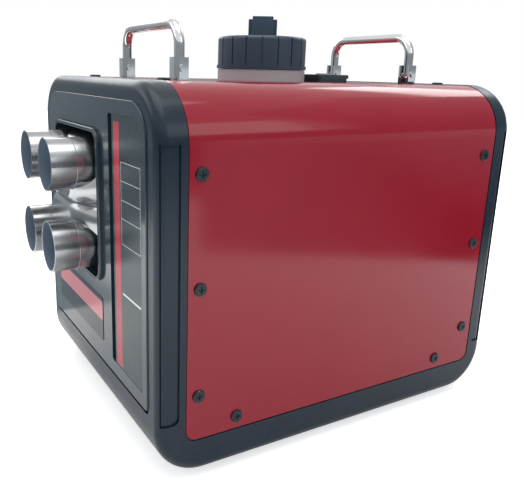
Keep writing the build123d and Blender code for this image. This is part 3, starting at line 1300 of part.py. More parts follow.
board_top = CONTROL_TOP - BOARD_DROP
with BuildPart() as control_board:
    board_half_w = box_half_w - CONTROL_T
    board_half_d = box_half_d - CONTROL_T - CONTROL_FIT
    slab(
        -board_half_w,
        board_half_w,
        CONTROL_Y - board_half_d,
        CONTROL_Y + board_half_d,
        board_top - BOARD_T,
        board_top,
    )
    # Switch bodies under the buttons and the display's back.
    button_low = CONTROL_TOP - CONTROL_T - BUTTON_SKIRT_T
    switch_top = button_low - BUTTON_TRAVEL - BUTTON_GAP
    for place_x, place_y in button_places.values():
        drum(board_top, switch_top - board_top, BUTTON_R, place_x, place_y)
    slab(
        SCREEN_X - SCREEN_W / 2,
        SCREEN_X + SCREEN_W / 2,
        CONTROL_Y - SCREEN_D / 2,
        CONTROL_Y + SCREEN_D / 2,
        board_top,
        CONTROL_TOP - CONTROL_T - SCREEN_T,
    )
nodes["control_board"] = control_board

with BuildPart() as control_screen:
    slab(
        SCREEN_X - SCREEN_W / 2,
        SCREEN_X + SCREEN_W / 2,
        CONTROL_Y - SCREEN_D / 2,
        CONTROL_Y + SCREEN_D / 2,
        CONTROL_TOP - CONTROL_T - SCREEN_T,
        CONTROL_TOP - SCREEN_FIT,
    )
nodes["control_screen"] = control_screen

for button_name, (place_x, place_y) in button_places.items():
    with BuildPart() as button:
        drum(button_low, CONTROL_TOP + BUTTON_RISE - button_low, BUTTON_R, place_x, place_y)
        fillet(button.edges().group_by(Axis.Z)[-1], 0.4)
        drum(button_low, BUTTON_SKIRT_T, BUTTON_R + BUTTON_SKIRT, place_x, place_y)
    nodes[button_name] = button

# ---------------------------------------------------------------- rear grille, power inlet, wiring
with BuildPart() as rear_grille:
    plate = GRILLE_W - 2 * GRILLE_GAP
    with BuildSketch(facing(REAR + COVER_SINK)):
        with Locations((CORE_X, CORE_Z)):
            RectangleRounded(plate, plate, GRILLE_R - GRILLE_GAP)
            slot_w = plate - 2 * SLOT_MARGIN
            with GridLocations(0, SLOT_PITCH, 1, SLOT_COUNT):
                SlotOverall(slot_w, SLOT_H, mode=Mode.SUBTRACT)
    extrude(amount=GRILLE_T)
nodes["rear_grille"] = rear_grille

with BuildPart() as power_inlet:
    ring(REAR, INLET_FLANGE_T, INLET_FLANGE_R, 0, INLET_X, INLET_Z)
    ring(REAR - INLET_L, INLET_L, INLET_R, 0, INLET_X, INLET_Z)
    hole_y = REAR + INLET_FLANGE_T - INLET_HOLE_L
    ring(hole_y, INLET_HOLE_L + 1, INLET_HOLE_R, 0, INLET_X, INLET_Z, Mode.SUBTRACT)
    for pin_x in (INLET_X - INLET_PIN_X, INLET_X + INLET_PIN_X):
        ring(hole_y - 1, INLET_PIN_L + 1, INLET_PIN_R, 0, pin_x, INLET_Z)
nodes["power_inlet"] = power_inlet

with BuildPart() as wiring:
    wire_y = ECU_FRONT + ECU_L + 2 * WIRE_BEND
    wire_z = CORE_Z - ECU_TALL / 4
    inlet_route = [
        (INLET_X, REAR - INLET_L, INLET_Z),
        (INLET_X, wire_y, INLET_Z),
        (INLET_X, wire_y, wire_z),
        (INLET_X, ECU_FRONT + ECU_L, wire_z),
    ]
    bent_tube(inlet_route, WIRE_BEND, WIRE_R)
    ecu_top = CORE_Z + ECU_TALL / 2
    board_low = board_top - BOARD_T
    wire_high = (SHELF_LOW + board_low) / 2
    panel_route = [
        (ecu_x, CONTROL_Y, ecu_top),
        (ecu_x, CONTROL_Y, wire_high),
        (SCREEN_X, CONTROL_Y, wire_high),
        (SCREEN_X, CONTROL_Y, board_low),
    ]
    bent_tube(panel_route, WIRE_BEND, WIRE_R)
nodes["wiring"] = wiring

# ---------------------------------------------------------------- feet
with BuildPart() as feet:
    for foot_x in (-FOOT_X, FOOT_X):
        for foot_y in (-FOOT_Y, FOOT_Y):
            drum(0, FOOT_H, FOOT_R, foot_x, foot_y)
            drum(-1, FOOT_HEAD_H + FOOT_SINK + 1, FOOT_HEAD_R + SCREW_GAP, foot_x, foot_y, Mode.SUBTRACT)
            drum(0, FOOT_H + 1, FOOT_SCREW_R + SCREW_GAP, foot_x, foot_y, Mode.SUBTRACT)
nodes["feet"] = feet

with BuildPart() as foot_screws:
    for foot_x in (-FOOT_X, FOOT_X):
        for foot_y in (-FOOT_Y, FOOT_Y):
            drum(FOOT_SINK, FOOT_HEAD_H, FOOT_HEAD_R, foot_x, foot_y)
            drum(FOOT_SINK, FOOT_SCREW_L, FOOT_SCREW_R, foot_x, foot_y)
nodes["foot_screws"] = foot_screws

# ---------------------------------------------------------------- files
os.makedirs("parts", exist_ok=True)
for name, node in nodes.items():
    node.part.label = name
    export_step(node.part, f"parts/{name}.step")
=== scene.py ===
from math import cos, pi, radians, sin

import bmesh
import bpy
from mathutils import Matrix, Vector


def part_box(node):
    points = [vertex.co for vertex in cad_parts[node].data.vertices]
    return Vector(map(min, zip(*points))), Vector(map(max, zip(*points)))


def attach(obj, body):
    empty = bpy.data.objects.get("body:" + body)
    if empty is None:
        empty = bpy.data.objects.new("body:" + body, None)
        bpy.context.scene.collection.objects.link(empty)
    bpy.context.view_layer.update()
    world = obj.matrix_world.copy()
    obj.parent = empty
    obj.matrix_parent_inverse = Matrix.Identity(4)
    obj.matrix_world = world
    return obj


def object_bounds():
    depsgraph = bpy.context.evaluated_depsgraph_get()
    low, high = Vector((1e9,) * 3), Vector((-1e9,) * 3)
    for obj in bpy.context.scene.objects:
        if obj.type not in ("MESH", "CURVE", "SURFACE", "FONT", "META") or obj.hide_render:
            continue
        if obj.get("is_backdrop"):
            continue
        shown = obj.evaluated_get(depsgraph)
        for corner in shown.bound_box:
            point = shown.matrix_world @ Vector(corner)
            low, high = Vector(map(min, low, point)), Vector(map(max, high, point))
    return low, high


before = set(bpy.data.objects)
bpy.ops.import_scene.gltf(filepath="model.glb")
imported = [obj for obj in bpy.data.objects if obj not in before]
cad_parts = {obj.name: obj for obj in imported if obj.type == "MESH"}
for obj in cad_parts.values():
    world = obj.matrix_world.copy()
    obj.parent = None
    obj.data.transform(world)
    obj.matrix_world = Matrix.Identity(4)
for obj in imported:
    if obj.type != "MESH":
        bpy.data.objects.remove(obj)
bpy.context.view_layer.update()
scene = bpy.context.scene
scene.view_settings.view_transform = "Standard"

# ------------------------------------------------------------------ camera
# The photograph was taken from the front right corner, a little above the lid, with a slight
# tilt. The axis of its lens meets the picture left of its middle and above it.
picture_wide, picture_high = 524, 500
lens_axis_x, lens_axis_y = 216.882, 231.35
lens_in_pixels = 607.616
film_wide = 36
eye = (0.48017, -0.32485, 0.29218)
turn = radians(60.2155)
dip = radians(14.5787)
tilt = radians(1.3384)
ahead = Vector((-sin(turn) * cos(dip), cos(turn) * cos(dip), -sin(dip)))
level = ahead.cross(Vector((0, 0, 1))).normalized()
upward = level.cross(ahead)
right = level * cos(tilt) + upward * sin(tilt)
above = upward * cos(tilt) - level * sin(tilt)
camera = bpy.data.objects.new("camera", bpy.data.cameras.new("camera"))
scene.collection.objects.link(camera)
camera.data.sensor_width = film_wide
camera.data.lens = lens_in_pixels / picture_wide * film_wide
camera.data.shift_x = (picture_wide / 2 - lens_axis_x) / picture_wide
camera.data.shift_y = -(picture_high / 2 - lens_axis_y) / picture_wide
camera.data.clip_start = 0.01
aim_of_camera = Matrix((right, above, -ahead)).transposed().to_4x4()
camera.matrix_world = Matrix.Translation(eye) @ aim_of_camera
scene.camera = camera

# ------------------------------------------------------------------ studio
# A white room with soft light from above, as for a shop picture. The floor is plain and pale
# and keeps the shadow. Grey flags round the heater show only in its gloss and its metal.


def wire(tree, source, target):
    tree.links.new(source, target)


def maths(tree, operation, first, second=None):
    node = tree.nodes.new("ShaderNodeMath")
    node.operation = operation
    for socket, value in zip(node.inputs, (first, second)):
        if value is None:
            continue
        if isinstance(value, (int, float)):
            socket.default_value = value
        else:
            wire(tree, value, socket)
    return node.outputs[0]


def remap(tree, value, low, high, to_low, to_high):
    node = tree.nodes.new("ShaderNodeMapRange")
    for socket, number in zip(node.inputs[1:5], (low, high, to_low, to_high)):
        if isinstance(number, (int, float)):
            socket.default_value = number
        else:
            wire(tree, number, socket)
    wire(tree, value, node.inputs[0])
    return node.outputs[0]


def split(tree, vector):
    node = tree.nodes.new("ShaderNodeSeparateXYZ")
    wire(tree, vector, node.inputs[0])
    return node.outputs


def looked_at(tree):
    """One for rays that look at the room directly, in a mirror or through glass."""
    rays = tree.nodes.new("ShaderNodeLightPath").outputs
    seen = maths(tree, "MAXIMUM", rays["Is Camera Ray"], rays["Is Glossy Ray"])
    return maths(tree, "MAXIMUM", seen, rays["Is Transmission Ray"])


def placed(name, form):
    """The finished form as an object of the scene."""
    mesh = bpy.data.meshes.new(name)
    form.to_mesh(mesh)
    form.free()
    thing = bpy.data.objects.new(name, mesh)
    scene.collection.objects.link(thing)
    return thing


world = bpy.data.worlds.new("white_room")
scene.world = world
world.use_nodes = True
room = world.node_tree
room.nodes.clear()
direction = room.nodes.new("ShaderNodeTexCoord")
height_ramp = room.nodes.new("ShaderNodeValToRGB")
wire(room, split(room, direction.outputs["Generated"])["Z"], height_ramp.inputs[0])
height_ramp.color_ramp.elements[0].position = 0.0
height_ramp.color_ramp.elements[0].color = (0.60, 0.62, 0.65, 1)
height_ramp.color_ramp.elements[1].position = 1.0
height_ramp.color_ramp.elements[1].color = (0.85, 0.85, 0.85, 1)
for height, shade in (
    (0.12, (0.80, 0.81, 0.83, 1)),
    (0.35, (0.45, 0.47, 0.50, 1)),
    (0.6, (0.55, 0.56, 0.58, 1)),
):
    height_ramp.color_ramp.elements.new(height).color = shade
wall_light = room.nodes.new("ShaderNodeBackground")
wire(room, height_ramp.outputs["Color"], wall_light.inputs["Color"])
wall_light.inputs["Strength"].default_value = 1.0
backdrop = room.nodes.new("ShaderNodeBackground")
backdrop.inputs["Color"].default_value = (1, 1, 1, 1)
backdrop.inputs["Strength"].default_value = 1.0
pick = room.nodes.new("ShaderNodeMixShader")
wire(room, looked_at(room), pick.inputs[0])
wire(room, wall_light.outputs[0], pick.inputs[1])
wire(room, backdrop.outputs[0], pick.inputs[2])
room_out = room.nodes.new("ShaderNodeOutputWorld")
wire(room, pick.outputs[0], room_out.inputs["Surface"])


def softbox(name, place, aim, size, power, colour=(1, 1, 1)):
    lamp = bpy.data.lights.new(name, "AREA")
    lamp.shape = "RECTANGLE"
    lamp.size, lamp.size_y = size
    lamp.energy = power
    lamp.color = colour
    holder = bpy.data.objects.new(name, lamp)
    scene.collection.objects.link(holder)
    holder.location = place
    holder.rotation_euler = (Vector(aim) - Vector(place)).to_track_quat("-Z", "Y").to_euler()


softbox("ceiling_box", (0.20, -0.20, 1.45), (0, 0, 0.2), (1.2, 1.0), 8.0)
softbox("left_box", (-1.40, 0.10, 0.85), (0, -0.05, 0.25), (1.1, 0.7), 5.0)
softbox("front_box", (-0.75, -1.25, 0.75), (0, 0, 0.15), (0.9, 0.9), 3.5)
softbox("side_box", (1.35, 0.55, 0.7), (0, 0, 0.15), (0.7, 0.9), 2.5, (0.93, 0.97, 1))
softbox("back_box", (-0.42, 1.28, 1.20), (0.1, 0.1, 0.28), (0.9, 0.34), 3.5)

# The floor lies a hair below the feet, so that their flat faces don't meet its own.
floor_drop = 0.0002
floor_form = bmesh.new()
bmesh.ops.create_grid(floor_form, x_segments=1, y_segments=1, size=4)
bmesh.ops.translate(floor_form, verts=floor_form.verts, vec=(0, 0, -floor_drop))
floor = placed("floor", floor_form)
floor_paint = bpy.data.materials.new("floor_paint")
floor_paint.use_nodes = True
paint = floor_paint.node_tree
floor_shader = paint.nodes["Principled BSDF"]
floor_shader.inputs["Base Color"].default_value = (0.86, 0.86, 0.86, 1)
floor_shader.inputs["Roughness"].default_value = 0.9
floor_shader.inputs["Specular IOR Level"].default_value = 0.0
floor_shader.inputs["Emission Color"].default_value = (1, 1, 1, 1)
# Further out the floor turns the white of the walls, so that no horizon shows.
fade_from, fade_to = 0.20, 0.60
glow_near, glow_far = 0.22, 1.0
glow_for_camera = 0.62
floor_place = paint.nodes.new("ShaderNodeTexCoord")
reach = paint.nodes.new("ShaderNodeVectorMath")
reach.operation = "LENGTH"
wire(paint, floor_place.outputs["Object"], reach.inputs[0])
fade = remap(paint, reach.outputs["Value"], fade_from, fade_to, glow_near, glow_far)
glow = maths(paint, "MULTIPLY", fade, looked_at(paint))
floor_rays = paint.nodes.new("ShaderNodeLightPath").outputs
near_glow = maths(paint, "MULTIPLY", floor_rays["Is Camera Ray"], glow_for_camera)
wire(paint, maths(paint, "MAXIMUM", glow, near_glow), floor_shader.inputs["Emission Strength"])
# From below the floor is clear, so that the underside can be looked at.
turned = paint.nodes.new("ShaderNodeNewGeometry")
below = maths(paint, "MULTIPLY", turned.outputs["Backfacing"], floor_rays["Is Camera Ray"])
clear = paint.nodes.new("ShaderNodeBsdfTransparent")
one_sided = paint.nodes.new("ShaderNodeMixShader")
wire(paint, below, one_sided.inputs[0])
wire(paint, floor_shader.outputs[0], one_sided.inputs[1])
wire(paint, clear.outputs[0], one_sided.inputs[2])
wire(paint, one_sided.outputs[0], paint.nodes["Material Output"].inputs["Surface"])
floor.data.materials.append(floor_paint)
floor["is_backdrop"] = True

# Where a flag's shade starts to rise, and from where to where its paler end fades.
shade_foot = 0.05
pale_from, pale_to = 0.15, 0.62


def flag(name, form, low_shade, high_shade, height, pale_end=0.0):
    """Grey card that only mirrors show, darkest at its foot; its near end may be paler."""
    card = placed(name, form)
    cloth = bpy.data.materials.new(name)
    cloth.use_nodes = True
    weave = cloth.node_tree
    shader = weave.nodes["Principled BSDF"]
    shader.inputs["Base Color"].default_value = (0, 0, 0, 1)
    shader.inputs["Specular IOR Level"].default_value = 0.0
    shader.inputs["Emission Color"].default_value = (0.82, 0.93, 1, 1)
    spot = split(weave, weave.nodes.new("ShaderNodeTexCoord").outputs["Object"])
    shade = remap(weave, spot["Z"], shade_foot, height, low_shade, high_shade)
    end_shade = remap(weave, spot["Y"], pale_from, pale_to, pale_end, 0.0)
    for smooth in (shade, end_shade):
        smooth.node.interpolation_type = "SMOOTHSTEP"
    wire(weave, maths(weave, "MAXIMUM", shade, end_shade), shader.inputs["Emission Strength"])
    card.data.materials.append(cloth)
    card.visible_camera = False
    card.visible_diffuse = False
    card.visible_shadow = False
    card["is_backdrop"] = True


hoop_radius, hoop_height = 1.15, 0.55
hoop = bmesh.new()
bmesh.ops.create_cone(
    hoop, cap_ends=False, segments=64, radius1=hoop_radius, radius2=hoop_radius, depth=hoop_height
)
bmesh.ops.translate(hoop, verts=hoop.verts, vec=(0, 0, hoop_height / 2))
flag("grey_hoop", hoop, 0.28, 0.42, hoop_height)
for name, foot_from, foot_to, tall, low_shade, high_shade, pale_end in (
    ("side_flag", (0.66, 0.14), (0.16, 0.92), 0.30, 0.12, 0.9, 0.8),
    ("front_flag", (-0.45, -1.05), (-0.75, 0.05), 0.42, 0.30, 0.55, 0.0),
    ("rear_flag", (-0.02, 1.02), (0.95, 0.80), 1.5, 0.30, 0.75, 0.0),
):
    board = bmesh.new()
    foot = [board.verts.new((*spot, 0)) for spot in (foot_from, foot_to)]
    raised = bmesh.ops.extrude_edge_only(board, edges=[board.edges.new(foot)])
    lifted = [item for item in raised["geom"] if isinstance(item, bmesh.types.BMVert)]
    bmesh.ops.translate(board, verts=lifted, vec=(0, 0, tall))
    flag(name, board, low_shade, high_shade, tall, pale_end)
floor_card = bmesh.new()
bmesh.ops.create_grid(floor_card, x_segments=1, y_segments=1, size=1)
bmesh.ops.scale(floor_card, verts=floor_card.verts, vec=(0.26, 0.075, 1))
bmesh.ops.translate(floor_card, verts=floor_card.verts, vec=(-0.49, -0.215, 0.001))
flag("floor_flag", floor_card, 0.60, 0.60, 0.3)

# ------------------------------------------------------------------ frames, tray and grille
# Black moulded plastic with a fine satin grain: the two end frames wrap the housing's edges
# and the tray joins them below. The grille at the back is the same moulding.


def group(name, inputs, outputs):
    tree = bpy.data.node_groups.new(name, "ShaderNodeTree")
    for label, kind, value in inputs:
        socket = tree.interface.new_socket(label, in_out="INPUT", socket_type=kind)
        if value is not None:
            socket.default_value = value
    for label, kind in outputs:
        tree.interface.new_socket(label, in_out="OUTPUT", socket_type=kind)
    start = tree.nodes.new("NodeGroupInput")
    end = tree.nodes.new("NodeGroupOutput")
    return tree, start.outputs, end.inputs


def noise(tree, vector, scale, detail=2.0, rough=0.5):
    node = tree.nodes.new("ShaderNodeTexNoise")
    node.inputs["Detail"].default_value = detail
    node.inputs["Roughness"].default_value = rough
    if isinstance(scale, (int, float)):
        node.inputs["Scale"].default_value = scale
    else:
        wire(tree, scale, node.inputs["Scale"])
    wire(tree, vector, node.inputs["Vector"])
    return node.outputs["Fac"]


def blend(tree, mask, first, second):
    node = tree.nodes.new("ShaderNodeMix")
    node.data_type = "RGBA"
    for index, value in ((0, mask), (6, first), (7, second)):
        socket = node.inputs[index]
        if isinstance(value, (int, float)):
            socket.default_value = value
        elif isinstance(value, tuple):
            socket.default_value = (*value, 1)
        else:
            wire(tree, value, socket)
    return node.outputs[2]


# The tooled grain of a moulding: fine pits, with broad patches where it was handled.
grain, start, end = group(
    "moulded_grain",
    [("Vector", "NodeSocketVector", None), ("Pit Scale", "NodeSocketFloat", 900.0)],
    [("Height", "NodeSocketFloat"), ("Patch", "NodeSocketFloat"), ("Fleck", "NodeSocketFloat")],
)
pits = noise(grain, start["Vector"], start["Pit Scale"], 3)
wire(grain, pits, end["Height"])
patches = noise(grain, start["Vector"], 14, 4)
wire(grain, remap(grain, patches, 0.35, 0.68, 0, 1), end["Patch"])
flecks = noise(grain, start["Vector"], 420, 1)
wire(grain, remap(grain, flecks, 0.70, 0.78, 0, 1), end["Fleck"])

# Dust that has settled on faces that look up.
dust, start, end = group(
    "settled_dust", [("Vector", "NodeSocketVector", None)], [("Mask", "NodeSocketFloat")]
)
facing = split(dust, dust.nodes.new("ShaderNodeNewGeometry").outputs["Normal"])
lying = remap(dust, facing["Z"], 0.55, 1.0, 0, 1)
cloud = remap(dust, noise(dust, start["Vector"], 22, 6, 0.6), 0.40, 0.75, 0, 1)
wire(dust, maths(dust, "MULTIPLY", lying, cloud), end["Mask"])


def finish(name):
    material = bpy.data.materials.new(name)
    material.use_nodes = True
    tree = material.node_tree
    shader = tree.nodes["Principled BSDF"]
    place = tree.nodes.new("ShaderNodeTexCoord")
    return material, tree, shader, place.outputs["Object"]


def effect(tree, kind, vector, **values):
    node = tree.nodes.new("ShaderNodeGroup")
    node.node_tree = kind
    wire(tree, vector, node.inputs["Vector"])
    for label, value in values.items():
        node.inputs[label.replace("_", " ")].default_value = value
    return node.outputs


def roughen(tree, shader, mask, bare, full):
    """Roughness from the bare value to the full one, as the mask fills."""
    wire(tree, remap(tree, mask, 0, 1, bare, full), shader.inputs["Roughness"])


def bump(tree, shader, height, strength, distance):
    node = tree.nodes.new("ShaderNodeBump")
    node.inputs["Strength"].default_value = strength
    node.inputs["Distance"].default_value = distance
    wire(tree, height, node.inputs["Height"])
    wire(tree, node.outputs[0], shader.inputs["Normal"])


def moulded(name, colour, rough, pits=900.0, depth=0.00004, dusty=0.05, gloss=0.5):
    """Moulded plastic: pitted, darker where it wasn't handled, and a little dusty on top."""
    material, tree, shader, place = finish(name)
    skin = effect(tree, grain, place, Pit_Scale=pits)
    settled = effect(tree, dust, place)
    darker = tuple(value * 0.82 for value in colour)
    tone = blend(tree, skin["Patch"], darker, colour)
    paler = tuple(min(1, value + 0.10) for value in colour)
    tone = blend(tree, maths(tree, "MULTIPLY", settled["Mask"], dusty), tone, paler)
    wire(tree, tone, shader.inputs["Base Color"])
    roughen(tree, shader, skin["Patch"], rough - 0.04, rough + 0.05)
    bump(tree, shader, skin["Height"], 0.35, depth)
    shader.inputs["Specular IOR Level"].default_value = gloss
    return material


def dress(material, *names):
    for name in names:
        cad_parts[name].data.materials.clear()
        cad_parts[name].data.materials.append(material)


black_moulding = moulded("black_moulding", (0.008, 0.021, 0.036), 0.27, gloss=0.32)
dress(black_moulding, "front_frame", "rear_frame", "base_tray", "rear_grille")

# ------------------------------------------------------------------ cover
# One sheet of steel bent over the top and down both sides, sprayed gloss red. The spray has
# a slight orange peel, and the sheet is not quite flat.
red_thin, red_thick, dusty_red = (0.285, 0.004, 0.018), (0.305, 0.005, 0.021), (0.45, 0.20, 0.20)
red_paint, tree, shader, place = finish("red_paint")
skin = effect(tree, grain, place, Pit_Scale=260.0)
settled = effect(tree, dust, place)
tone = blend(tree, skin["Patch"], red_thin, red_thick)
tone = blend(tree, maths(tree, "MULTIPLY", settled["Mask"], 0.04), tone, dusty_red)
wire(tree, tone, shader.inputs["Base Color"])
roughen(tree, shader, skin["Patch"], 0.10, 0.14)
shader.inputs["Specular IOR Level"].default_value = 0.42
swell = noise(tree, place, 6, 1)
peel = maths(tree, "ADD", maths(tree, "MULTIPLY", skin["Height"], 0.05), swell)
bump(tree, shader, peel, 0.30, 0.0006)
dress(red_paint, "cover")

# ------------------------------------------------------------------ screws
# Cross-recessed pan heads in blackened steel, with a little bright metal worn through. They
# hold the cover to the frames and the feet to the tray.
blackened, worn_bright = (0.030, 0.040, 0.046), (0.12, 0.13, 0.14)
screw_steel, tree, shader, place = finish("screw_steel")
skin = effect(tree, grain, place, Pit_Scale=1500.0)
wire(tree, blend(tree, skin["Fleck"], blackened, worn_bright), shader.inputs["Base Color"])
shader.inputs["Metallic"].default_value = 0.75
roughen(tree, shader, skin["Patch"], 0.30, 0.45)
bump(tree, shader, skin["Height"], 0.2, 0.00003)
dress(screw_steel, "cover_screws", "foot_screws")

# ------------------------------------------------------------------ front panel and outlet collar
# The panel and the thick lip round the outlets are smoother, glossier mouldings than the
# frames, so that they mirror the room faintly. The bezel on the lid is moulded the same way.
gloss_moulding = moulded(
    "gloss_moulding", (0.020, 0.040, 0.055), 0.14, 500.0, 0.00002, 0.04, 0.56
)
dress(gloss_moulding, "front_panel", "outlet_collar", "control_bezel")

# ------------------------------------------------------------------ data plate
# A printed foil glued in the panel's pocket: black, with a red stripe down its left edge, a
# table ruled in white hairlines and a short white bar below it.
print_rect, start, end = group(
    "print_rect",
    [
        ("Vector", "NodeSocketVector", None),
        ("Left", "NodeSocketFloat", 0.0),
        ("Right", "NodeSocketFloat", 0.0),
        ("Low", "NodeSocketFloat", 0.0),
        ("High", "NodeSocketFloat", 0.0),
    ],
    [("Mask", "NodeSocketFloat")],
)
across = split(print_rect, start["Vector"])
inside = None
for axis, low, high in (("X", "Left", "Right"), ("Z", "Low", "High")):
    after = maths(print_rect, "GREATER_THAN", across[axis], start[low])
    before = maths(print_rect, "LESS_THAN", across[axis], start[high])
    both = maths(print_rect, "MULTIPLY", after, before)
    inside = both if inside is None else maths(print_rect, "MULTIPLY", inside, both)
wire(print_rect, inside, end["Mask"])


def rectangles(tree, place, spans):
    """Mask of all spans, each its left, right, low and high edge in millimetres."""
    total = None
    for span in spans:
        left, right_edge, low, high = (edge / 1000 for edge in span)
        area = effect(tree, print_rect, place, Left=left, Right=right_edge, Low=low, High=high)
        mask = area["Mask"]
        total = mask if total is None else maths(tree, "MAXIMUM", total, mask)
    return total


def printed(name, ground, red_spans, white_spans, gloss, rough, red=(0.50, 0.035, 0.055)):
    """Smooth printed foil: a dark ground with red areas, and white ones on top."""
    material, tree, shader, place = finish(name)
    skin = effect(tree, grain, place, Pit_Scale=700.0)
    tone = blend(tree, skin["Patch"], tuple(value * 0.9 for value in ground), ground)
    tone = blend(tree, rectangles(tree, place, red_spans), tone, red)
    if white_spans:
        tone = blend(tree, rectangles(tree, place, white_spans), tone, (0.80, 0.81, 0.81))
    wire(tree, tone, shader.inputs["Base Color"])
    roughen(tree, shader, skin["Patch"], rough - 0.03, rough + 0.03)
    bump(tree, shader, skin["Height"], 0.15, 0.00002)
    shader.inputs["Specular IOR Level"].default_value = gloss
    return material


red_stripe = (59.3, 70.2, 68, 257.5)
white_bar = (73.4, 108.6, 129.9, 131.5)
table_sides = (72.9, 108.6)
table_rows = (229.8, 216.2, 202.3, 188.6, 169.4)
half_rule = 0.2
rules = [(*table_sides, row - half_rule, row + half_rule) for row in table_rows]
rules += [
    (side - half_rule, side + half_rule, table_rows[-1], table_rows[0]) for side in table_sides
]
rules.append(white_bar)
plate_print = printed("plate_print", (0.022, 0.042, 0.052), [red_stripe], rules, 0.32, 0.28)
dress(plate_print, "data_plate")

# ------------------------------------------------------------------ front label
# A second foil, glued on the panel under the outlets. It is printed like the data plate, with
# a plain red band on a darker and smoother ground.
red_band = (-98, 26.5, 91, 107.6)
label_print = printed(
    "label_print", (0.014, 0.022, 0.028), [red_band], [], 0.20, 0.15, (0.64, 0.21, 0.23)
)
dress(label_print, "front_label")

# ------------------------------------------------------------------ outlets
# Thin stainless steel, rolled, pressed and welded. The metal was polished round the tubes,
# which leaves fine rings in it.
brushed, start, end = group(
    "brushed_metal",
    [("Vector", "NodeSocketVector", None), ("Stretch", "NodeSocketVector", (30, 1400, 30))],
    [("Height", "NodeSocketFloat"), ("Streak", "NodeSocketFloat"), ("Smear", "NodeSocketFloat")],
)
stretch = brushed.nodes.new("ShaderNodeVectorMath")
stretch.operation = "MULTIPLY"
wire(brushed, start["Vector"], stretch.inputs[0])
wire(brushed, start["Stretch"], stretch.inputs[1])
drawn_out = stretch.outputs[0]
wire(brushed, noise(brushed, drawn_out, 1, 4, 0.6), end["Height"])
wire(brushed, remap(brushed, noise(brushed, drawn_out, 0.5, 2), 0.35, 0.65, 0, 1), end["Streak"])
handled = noise(brushed, start["Vector"], 45, 4)
wire(brushed, remap(brushed, handled, 0.35, 0.70, 0, 1), end["Smear"])

# Where the painted reflection inside the four tubes and the bores behind them begins: how far in
# from the polished outside. The
# tubes stand in two rows of two, measured from the middle between them.
pattern_left, pattern_height = 0.030, 0.1865
half_pitch_x, half_pitch_z = 0.0313, 0.03345
outside_bore, inside_bore = 0.0201, 0.0199
bores, start, end = group(
    "bore_reflection_mask", [("Vector", "NodeSocketVector", None)], [("Mask", "NodeSocketFloat")]
)
bore_place = split(bores, start["Vector"])
from_middle_x = maths(bores, "ADD", bore_place["X"], pattern_left)
off_x = maths(bores, "SUBTRACT", maths(bores, "ABSOLUTE", from_middle_x), half_pitch_x)
from_middle_z = maths(bores, "SUBTRACT", bore_place["Z"], pattern_height)
off_z = maths(bores, "SUBTRACT", maths(bores, "ABSOLUTE", from_middle_z), half_pitch_z)
square_x = maths(bores, "MULTIPLY", off_x, off_x)
square_z = maths(bores, "MULTIPLY", off_z, off_z)
off_axis = maths(bores, "SQRT", maths(bores, "ADD", square_x, square_z))
wire(bores, remap(bores, off_axis, outside_bore, inside_bore, 0, 1), end["Mask"])


def metal(name, colour, rough, stretch_by, depth=0.00003, contrast=0.85):
    """Bare or plated metal, streaked along its polish and smeared where it was handled."""
    material, tree, shader, place = finish(name)
    skin = effect(tree, brushed, place, Stretch=stretch_by)
    dull = tuple(value * contrast for value in colour)
    tone = blend(tree, skin["Streak"], dull, colour)
    smeared = tuple(value * 0.8 for value in colour)
    tone = blend(tree, maths(tree, "MULTIPLY", skin["Smear"], 0.15), tone, smeared)
    wire(tree, tone, shader.inputs["Base Color"])
    shader.inputs["Metallic"].default_value = 1.0
    roughen(tree, shader, skin["Streak"], rough - 0.02, rough + 0.03)
    bump(tree, shader, skin["Height"], 0.3, depth)
    return material


stainless = metal("stainless", (0.41, 0.42, 0.43), 0.21, (12, 350, 12), 0.000001, 0.985)
tree = stainless.node_tree
shader = tree.nodes["Principled BSDF"]
place = next(node for node in tree.nodes if node.type == "TEX_COORD").outputs["Object"]
# Inside, the steel is bluer and less bright: a painted reflection, standing in for the room's light
# seen in the bores.
painted_bore_reflection = effect(tree, bores, place)["Mask"]
outer_tone = shader.inputs["Base Color"].links[0].from_socket
wire(tree, blend(tree, painted_bore_reflection, outer_tone, (0.26, 0.33, 0.41)), shader.inputs["Base Color"])
wire(tree, remap(tree, painted_bore_reflection, 0, 1, 1.0, 0.35), shader.inputs["Metallic"])
dress(
    stainless,
    "outlet_tube_upper_left",
    "outlet_tube_upper_right",
    "outlet_tube_lower_left",
    "outlet_tube_lower_right",
    "outlet_manifold",
)

# Weld bead round each tube where it leaves its dome, a little behind its mouth.
bead_thickness, bead_ring, behind_mouth = 0.00022, 0.02105, 0.0202
for name in ("upper_left", "upper_right", "lower_left", "lower_right"):
    tube_low, tube_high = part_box("outlet_tube_" + name)
    bead = bmesh.new()
    rim = bmesh.ops.create_circle(bead, segments=10, radius=bead_thickness)
    bmesh.ops.translate(bead, verts=rim["verts"], vec=(bead_ring, 0, 0))
    bmesh.ops.spin(
        bead,
        geom=bead.verts[:] + bead.edges[:],
        cent=(0, 0, 0),
        axis=(0, 1, 0),
        angle=2 * pi,
        steps=72,
        use_merge=True,
    )
    weld_place = (
        (tube_low[0] + tube_high[0]) / 2,
        tube_low[1] + behind_mouth,
        (tube_low[2] + tube_high[2]) / 2,
    )
    bmesh.ops.translate(bead, verts=bead.verts, vec=weld_place)
    bmesh.ops.recalc_face_normals(bead, faces=bead.faces)
    weld = placed("weld_bead_" + name, bead)
    weld.data.shade_smooth()
    weld.data.materials.append(stainless)
    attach(weld, "housing")

# ------------------------------------------------------------------ zinc-plated parts
# The duct behind the outlets, the plates and nuts that hold the handles from inside and the
# stands under the heater core: folded sheet steel and stock nuts, all zinc plated.
zinc_sheet = metal("zinc_sheet", (0.50, 0.51, 0.53), 0.38, (200, 200, 200))
dress(zinc_sheet, "outlet_duct", "handle_backing", "handle_nuts", "core_stands")

